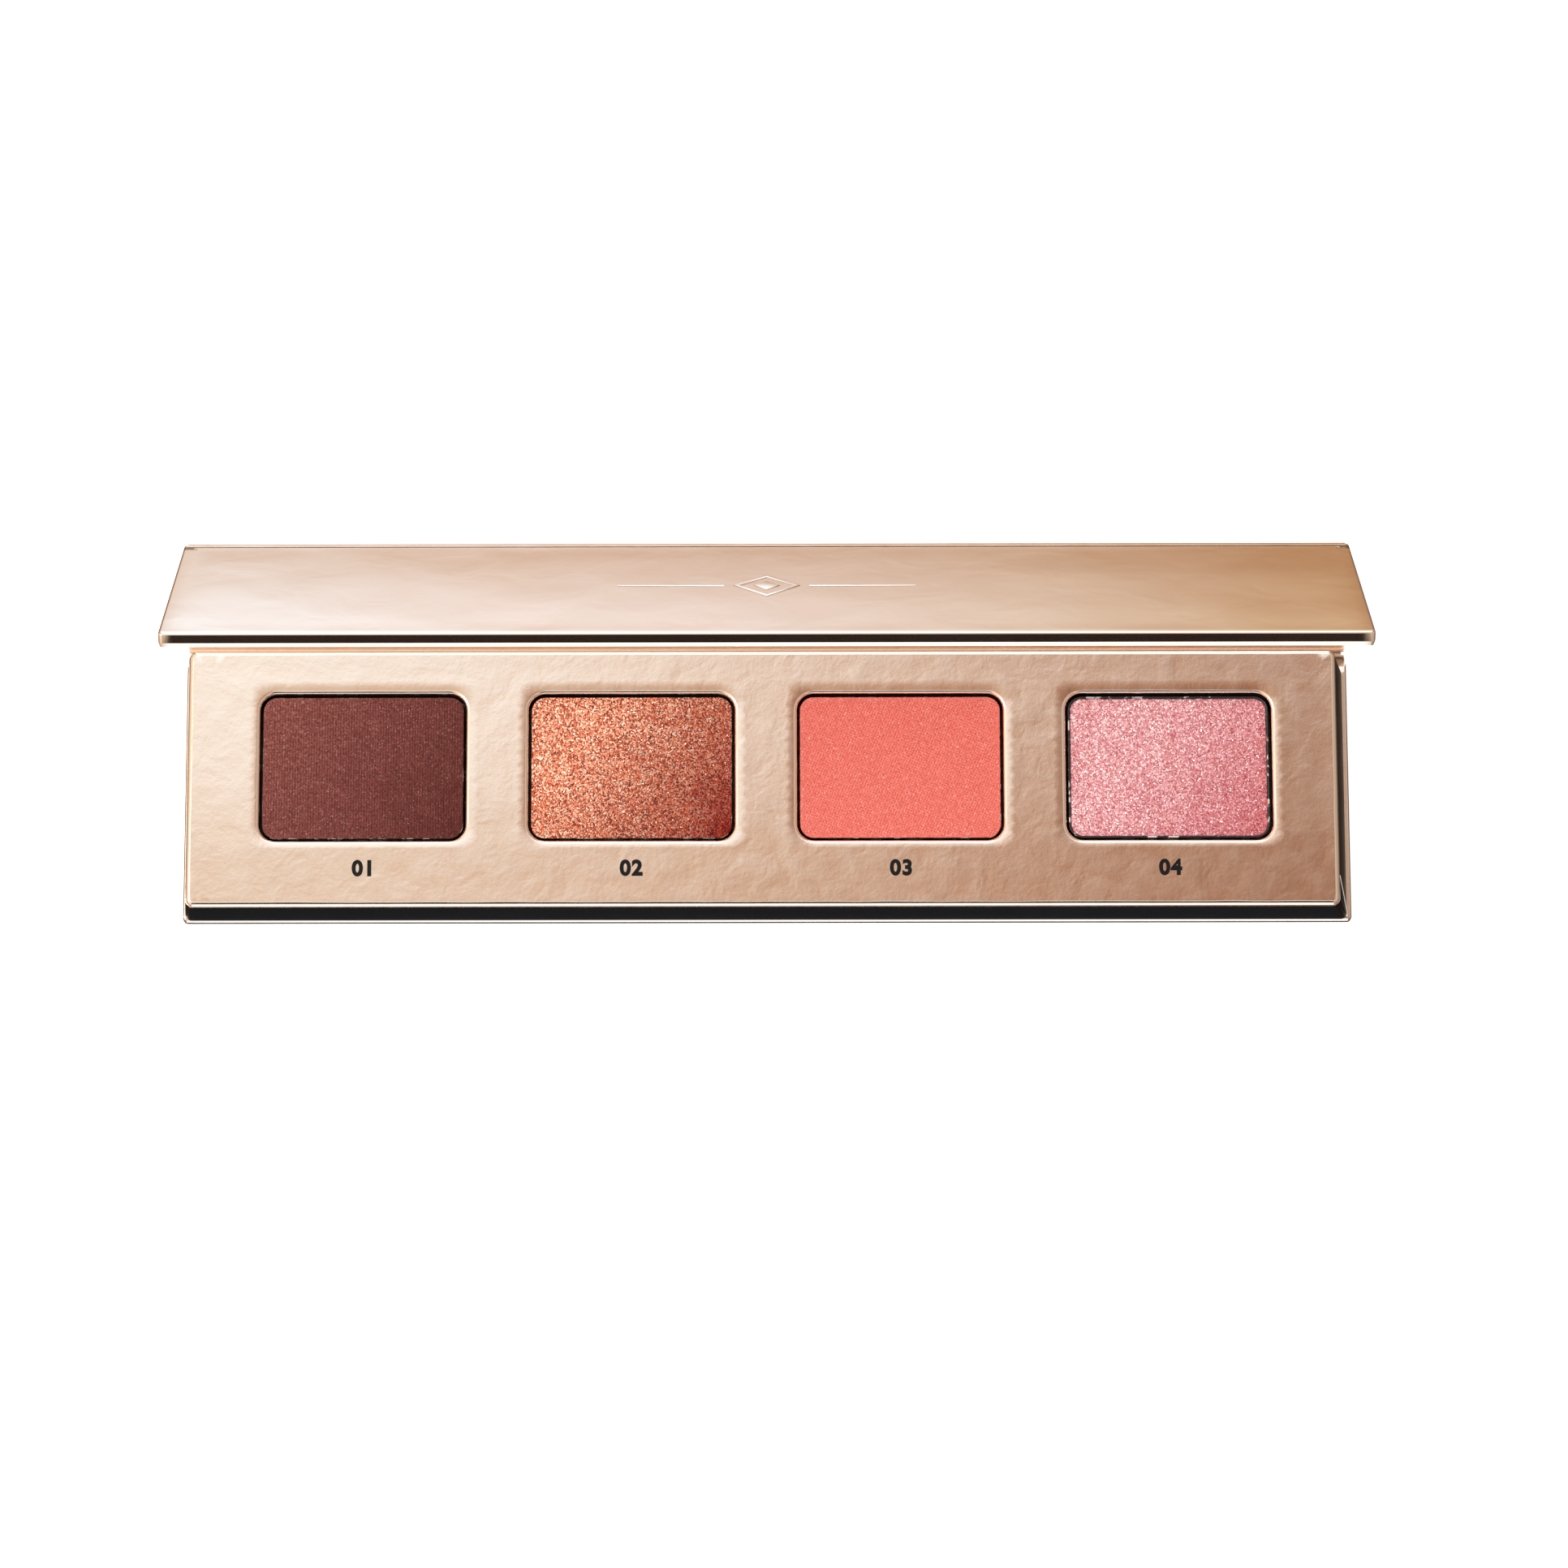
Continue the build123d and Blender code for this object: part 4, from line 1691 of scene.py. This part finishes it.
@dataclass
class Tray:
    """The tray: panel, walls, pans with their powders, and the printed numbers."""

    finishes: Finishes

    def shades(self) -> list[Shade]:
        """The four powders, from left to right."""

        # Painted shade for each cake: the colour darkens towards the front right by the colour
        # given, standing in for light from the rear left; the coral cake stays even.
        def painted_shade(n: int, early: float, shade: Colour) -> PaintedShade:
            low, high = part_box(f"pan_{n}")
            c = (low + high) / 2 / MM
            return PaintedShade((c.x - 10 * early, c.y + 7 * early), (c.x + 10, c.y - 7), shade)

        brown, copper, coral, pink = (
            painted_shade(1, 1.0, (0.44, 0.30, 0.29)), painted_shade(2, 0.5, (0.29, 0.04, 0.02)),
            painted_shade(3, 1.0, (1.0, 1.0, 1.0)), painted_shade(4, 0.3, (0.73, 0.42, 0.44)),
        )
        return [
            Shade(
                1, Press.LINEN,
                PowderFinish("powder_brown", (
                    (0.0, (0.14, 0.036, 0.029)), (0.5, (0.257, 0.070, 0.056)),
                    (0.92, (0.33, 0.106, 0.084)), (1.0, (0.46, 0.25, 0.20)),
                ), brown, painted_hollow_shade=0.22),
                FlakeFinish("brown_flakes", (0.8, 0.5, 0.42), (0.4, 0.18, 0.14), brown),
                500, 0.022, 0.3,
            ),
            Shade(
                2, Press.LOOSE,
                PowderFinish("powder_copper", (
                    (0.0, (0.14, 0.018, 0.009)), (0.35, (0.62, 0.12, 0.055)),
                    (0.65, (1.0, 0.31, 0.16)), (0.85, (1.0, 0.60, 0.38)), (1.0, (1.0, 0.92, 0.78)),
                ), copper, grain_scale=7500.0, roughness=0.5, shimmer=0.5, relief=0.00007),
                FlakeFinish("copper_flakes", (1.0, 0.86, 0.66), (0.95, 0.46, 0.27), copper),
                9500, 0.036, 0.6,
            ),
            Shade(
                3, Press.DIMPLED,
                PowderFinish("powder_coral", (
                    (0.0, (0.76, 0.135, 0.10)), (0.5, (0.90, 0.195, 0.15)),
                    (0.93, (0.96, 0.235, 0.185)), (1.0, (0.95, 0.42, 0.34)),
                ), coral, painted_hollow_shade=0.3),
                FlakeFinish("coral_flakes", (1.0, 0.62, 0.55), (0.9, 0.35, 0.28), coral),
                160, 0.022, 0.3,
            ),
            Shade(
                4, Press.LOOSE,
                PowderFinish("powder_pink", (
                    (0.0, (0.46, 0.11, 0.12)), (0.35, (0.70, 0.25, 0.26)),
                    (0.7, (0.84, 0.38, 0.39)), (0.9, (1.0, 0.66, 0.66)), (1.0, (1.0, 0.92, 0.90)),
                ), pink, grain_scale=7500.0, roughness=0.5, shimmer=0.4, relief=0.00005),
                FlakeFinish("pink_flakes", (1.0, 0.95, 0.93), (0.98, 0.66, 0.66), pink),
                9500, 0.036, 0.6, over=0.0,
            ),
        ]

    def build(self) -> None:
        """Build every piece of the tray."""
        Panel(self.finishes.panel_foil).build()
        Walls(self.finishes).build()
        press_tree, flake_tree = make_press_tree(), make_flake_tree()
        for shade in self.shades():
            PressedPan(shade, self.finishes.tinplate, press_tree, flake_tree).build()
        Numbers(self.finishes.ink).build()


@dataclass
class Mirror:
    """The lid's thin mirror, with a ground bevel round its face."""

    material: Any
    bevel: float = 0.5
    bevel_depth: float = 0.22
    corner: float = 1.5

    def build(self) -> None:
        """Build the mirror in its recess and put it on the lid."""
        start = crease("lid_hinge")
        way, inward = directions(SPINE_TURN + LID_TURN)
        corners = [v.co / MM - start for v in frame["nodes"]["lid_mirror"].data.vertices]
        us, ws = [p.dot(way) for p in corners], [p.dot(inward) for p in corners]
        half, back, face = max(abs(p.x) for p in corners), min(ws), max(ws)
        outline = Outline(-half, half, min(us), max(us), self.corner)
        draft = MeshDraft()
        rings = []
        for inset, depth in (
            (0.0, back), (0.0, face - self.bevel_depth), (self.bevel, face),
            (self.bevel + 0.05, face),
        ):
            flat = outline.inset(inset).loop(3.0, 8, like=outline)
            points = [start + way * u + inward * depth for _, u in flat]
            rings.append(draft.loop((x, p.y, p.z) for (x, _), p in zip(flat, points)))
        draft.stack(rings)
        piece = draft.build("lid_mirror_glass", self.material, sharp=5.0)
        put_on(piece, "lid", "lid_mirror")


@dataclass
class InnerParts:
    """CAD parts that keep their own shape and get a finer finish."""

    finishes: Finishes

    def dress(self) -> None:
        """Give each kept CAD part its material."""
        f = self.finishes
        looks = (
            (f.greyboard, "base_board spine_board lid_board lid_window_board"),
            (f.greyboard, "tray_floor_board_1 tray_floor_board_2"),
            # The window boards carry the near-black painted shade of the gaps round the pans.
            (f.black_board, "tray_window_board"),
            (f.glue, "tray_glue_sheet lid_mirror_pad pan_pad_1 pan_pad_2 pan_pad_3 pan_pad_4"),
            (f.case_foil, "spine_liner lid_liner"),
            (f.nickel, "tray_magnets lid_magnets"),
        )
        for material, names in looks:
            for name in names.split():
                node = frame["nodes"][name]
                if not node.material_slots:
                    node.data.materials.append(material)
                for slot in node.material_slots:
                    slot.material = material
                LOG.info("%s dressed in %s", name, material.name)


# --- Studio ------------------------------------------------------------------------------


def at(degrees: float) -> float:
    """Place on a ramp that runs once round the room, from -180 to 180 degrees."""
    return (degrees + 180.0) / 360.0


@dataclass
class Studio:
    """Camera, soft light and a plain pale floor."""

    aim_height: float = 5.0
    distance: float = 582.85
    elevation: float = 78.36
    focal: float = 130.555
    sensor: float = 36.0
    shift: Flat = (0.01085, -0.00343)
    roll: float = -0.093
    ambient: float = 0.75
    floor_glow: float = 0.6
    floor_size: float = 4.0
    floor_drop: float = 0.0001
    panel_light: Colour = (1.2, 1.4, 1.6)
    lamp_place: Point = (-0.6, -0.1, 0.75)
    lamp_size: float = 0.4
    lamp_power: float = 7.5

    def build(self) -> None:
        """Build the studio."""
        self.camera()
        self.world()
        self.lamp()
        self.floor()
        bpy.context.scene.view_settings.view_transform = "Standard"

    def camera(self) -> None:
        """Place the camera."""
        data = bpy.data.cameras.new("camera")
        data.lens = self.focal
        data.sensor_width = self.sensor
        data.shift_x, data.shift_y = self.shift
        data.clip_start, data.clip_end = 0.01, 20.0
        camera = add_object("camera", data)
        e = math.radians(self.elevation)
        back = Vector((0.0, -math.cos(e), math.sin(e)))
        camera.location = (Vector((0, 0, self.aim_height)) + back * self.distance) * MM
        turn = (-back).to_track_quat("-Z", "Y").to_matrix()
        turn = turn @ Matrix.Rotation(math.radians(self.roll), 3, "Z")
        camera.rotation_euler = turn.to_euler()
        bpy.context.scene.camera = camera

    def world(self) -> None:
        """Light the room: even white light, and a room that only the foil mirrors."""
        world = bpy.data.worlds.new("studio_room")
        world.use_nodes = True
        bpy.context.scene.world = world
        tree = world.node_tree
        tree.nodes.clear()
        way = add_node(tree, "ShaderNodeTexCoord").outputs["Generated"]
        unit = add_node(tree, "ShaderNodeVectorMath", {0: way}, operation="NORMALIZE").outputs[0]
        parts = add_node(tree, "ShaderNodeSeparateXYZ", {0: unit}).outputs
        aside = calc(tree, "ABSOLUTE", parts[0])
        strip = fit_range(tree, aside, 0.16, 0.28, 1.0, 0.0)
        whole = mix(tree, strip, self.room(tree, parts), self.soft_panels(tree, parts))
        mirrored = add_node(tree, "ShaderNodeBackground", {0: whole, 1: 1.0})
        even = add_node(tree, "ShaderNodeBackground", {0: (1.0, 1.0, 1.0, 1.0), 1: self.ambient})
        path = add_node(tree, "ShaderNodeLightPath")
        mixed = add_node(
            tree, "ShaderNodeMixShader",
            {0: path.outputs["Is Glossy Ray"], 1: even.outputs[0], 2: mirrored.outputs[0]},
        )
        add_node(tree, "ShaderNodeOutputWorld", {0: mixed.outputs[0]})
        world.cycles.sampling_method = "NONE"

    def soft_panels(self, tree: Any, parts: Any) -> Any:
        """The strip of soft panels over the palette, bright at the left and warm at the right.

        Args:
            tree: Node tree of the world.
            parts: Outputs that give the three parts of the direction.

        Returns:
            The output that gives the strip's colour.
        """
        across = fit_range(tree, parts[0], -0.2, 0.2)
        above = ramp(tree, across, (
            (0.0, (1.08, 1.30, 1.50)), (0.26, (1.05, 1.27, 1.46)), (0.38, (1.09, 1.30, 1.50)),
            (0.5, (0.86, 0.81, 0.79)), (0.6175, (0.62, 0.47, 0.39)), (0.7375, (0.34, 0.18, 0.10)),
            (1.0, (0.28, 0.13, 0.06)),
        ))
        below = ramp(tree, across, (
            (0.0, (0.98, 1.14, 1.32)), (0.27, (0.95, 1.10, 1.30)), (0.38, (0.89, 0.94, 1.04)),
            (0.5, (0.83, 0.85, 0.92)), (0.61, (0.75, 0.72, 0.70)), (0.73, (0.585, 0.45, 0.31)),
            (1.0, (0.55, 0.42, 0.28)),
        ))
        lateral = mix(tree, fit_range(tree, parts[2], -0.1, 0.1), below, above)
        angle = calc(tree, "ARCTAN2", parts[2], calc(tree, "MULTIPLY", parts[1], -1.0))
        height = fit_range(tree, angle, -math.pi, math.pi)
        white, shadow = (1.0, 1.0, 1.0), (0.03, 0.02, 0.02)
        black = (0.02, 0.012, 0.01)
        upright = ramp(tree, height, (
            (at(-180), white), (at(-150), (1.25, 1.32, 1.38)), (at(-143.5), (1.22, 1.28, 1.33)),
            (at(-137.5), (0.64, 0.40, 0.22)), (at(-124), (0.55, 0.36, 0.22)), (at(-118), shadow),
            (at(-69), shadow), (at(-61), white), (at(17), white), (at(23), black), (at(58), black),
            (at(66), (0.95, 0.92, 0.9)), (at(96), (0.62, 0.42, 0.29)),
            (at(99.6), (0.68, 0.49, 0.36)), (at(101.6), (0.94, 0.90, 0.87)),
            (at(102.9), (1.02, 1.0, 1.0)), (at(180), white),
        ))
        zone = ramp(tree, height, [
            (at(degrees), (share, share, share)) for degrees, share in (
                (-156, 0), (-150, 1), (-122, 1), (-116, 0), (66, 0), (76, 1), (104, 1), (112, 0),
            )
        ])
        tinted = mix(tree, zone, self.panel_light, lateral)
        return mix(tree, 1.0, tinted, upright, "MULTIPLY")

    def room(self, tree: Any, parts: Any) -> Any:
        """The plain warm room on every other side.

        Args:
            tree: Node tree of the world.
            parts: Outputs that give the three parts of the direction.

        Returns:
            The output that gives the room's colour.
        """
        colour = ramp(tree, calc(tree, "MULTIPLY_ADD", parts[2], 0.5, 0.5), (
            (0.0, (0.10, 0.07, 0.05)), (0.12, (0.34, 0.26, 0.21)), (0.45, (0.62, 0.52, 0.45)),
            (0.6, (0.74, 0.63, 0.55)), (0.85, (0.96, 0.87, 0.80)), (1.0, (1.0, 0.93, 0.88)),
        ))
        falling = fit_range(tree, parts[0], -0.6, 0.4, 1.15, 0.62)
        drift = calc(tree, "MULTIPLY_ADD", parts[1], 5.0, calc(tree, "MULTIPLY", parts[0], 13.0))
        windows = calc(tree, "MULTIPLY_ADD", calc(tree, "SINE", drift), 0.2, 1.0)
        return scaled(tree, colour, calc(tree, "MULTIPLY", falling, windows))

    def lamp(self) -> None:
        """Hang one broad soft lamp to the upper left."""
        data = bpy.data.lights.new("soft_lamp", "AREA")
        data.shape = "DISK"
        data.size = self.lamp_size
        data.energy = self.lamp_power
        lamp = add_object("soft_lamp", data)
        lamp.location = self.lamp_place
        lamp.rotation_euler = (-Vector(self.lamp_place)).to_track_quat("-Z", "Y").to_euler()

    def floor(self) -> None:
        """Lay the floor, which glows a little."""
        material, _, shader = Finish("pale_floor").open(
            Base_Color=(0.92, 0.92, 0.92, 1.0), Roughness=0.9, Specular_IOR_Level=0.0,
            Emission_Color=(1.0, 1.0, 1.0, 1.0), Emission_Strength=self.floor_glow,
        )
        mesh = bpy.data.meshes.new("floor")
        corners = [
            (x * self.floor_size, y * self.floor_size, -self.floor_drop)
            for x, y in ((-1, -1), (1, -1), (1, 1), (-1, 1))
        ]
        mesh.from_pydata(corners, [], [(0, 1, 2, 3)])
        mesh.materials.append(material)
        floor = add_object("floor", mesh)
        floor.visible_glossy = False


def clear_reflections() -> None:
    """Keep the open lid out of the panel's mirror image, where only the soft light shows."""
    for item in bpy.context.scene.objects:
        if item.name.startswith("lid_"):
            item.visible_glossy = False


def main() -> None:
    """Build the palette and its studio."""
    logging.basicConfig(level=logging.INFO, format="%(name)s: %(message)s")
    finishes = Finishes()
    Studio().build()
    Case(finishes).build()
    Tray(finishes).build()
    Mirror(finishes.silvered).build()
    InnerParts(finishes).dress()
    clear_reflections()


if __name__ == "__main__":
    main()
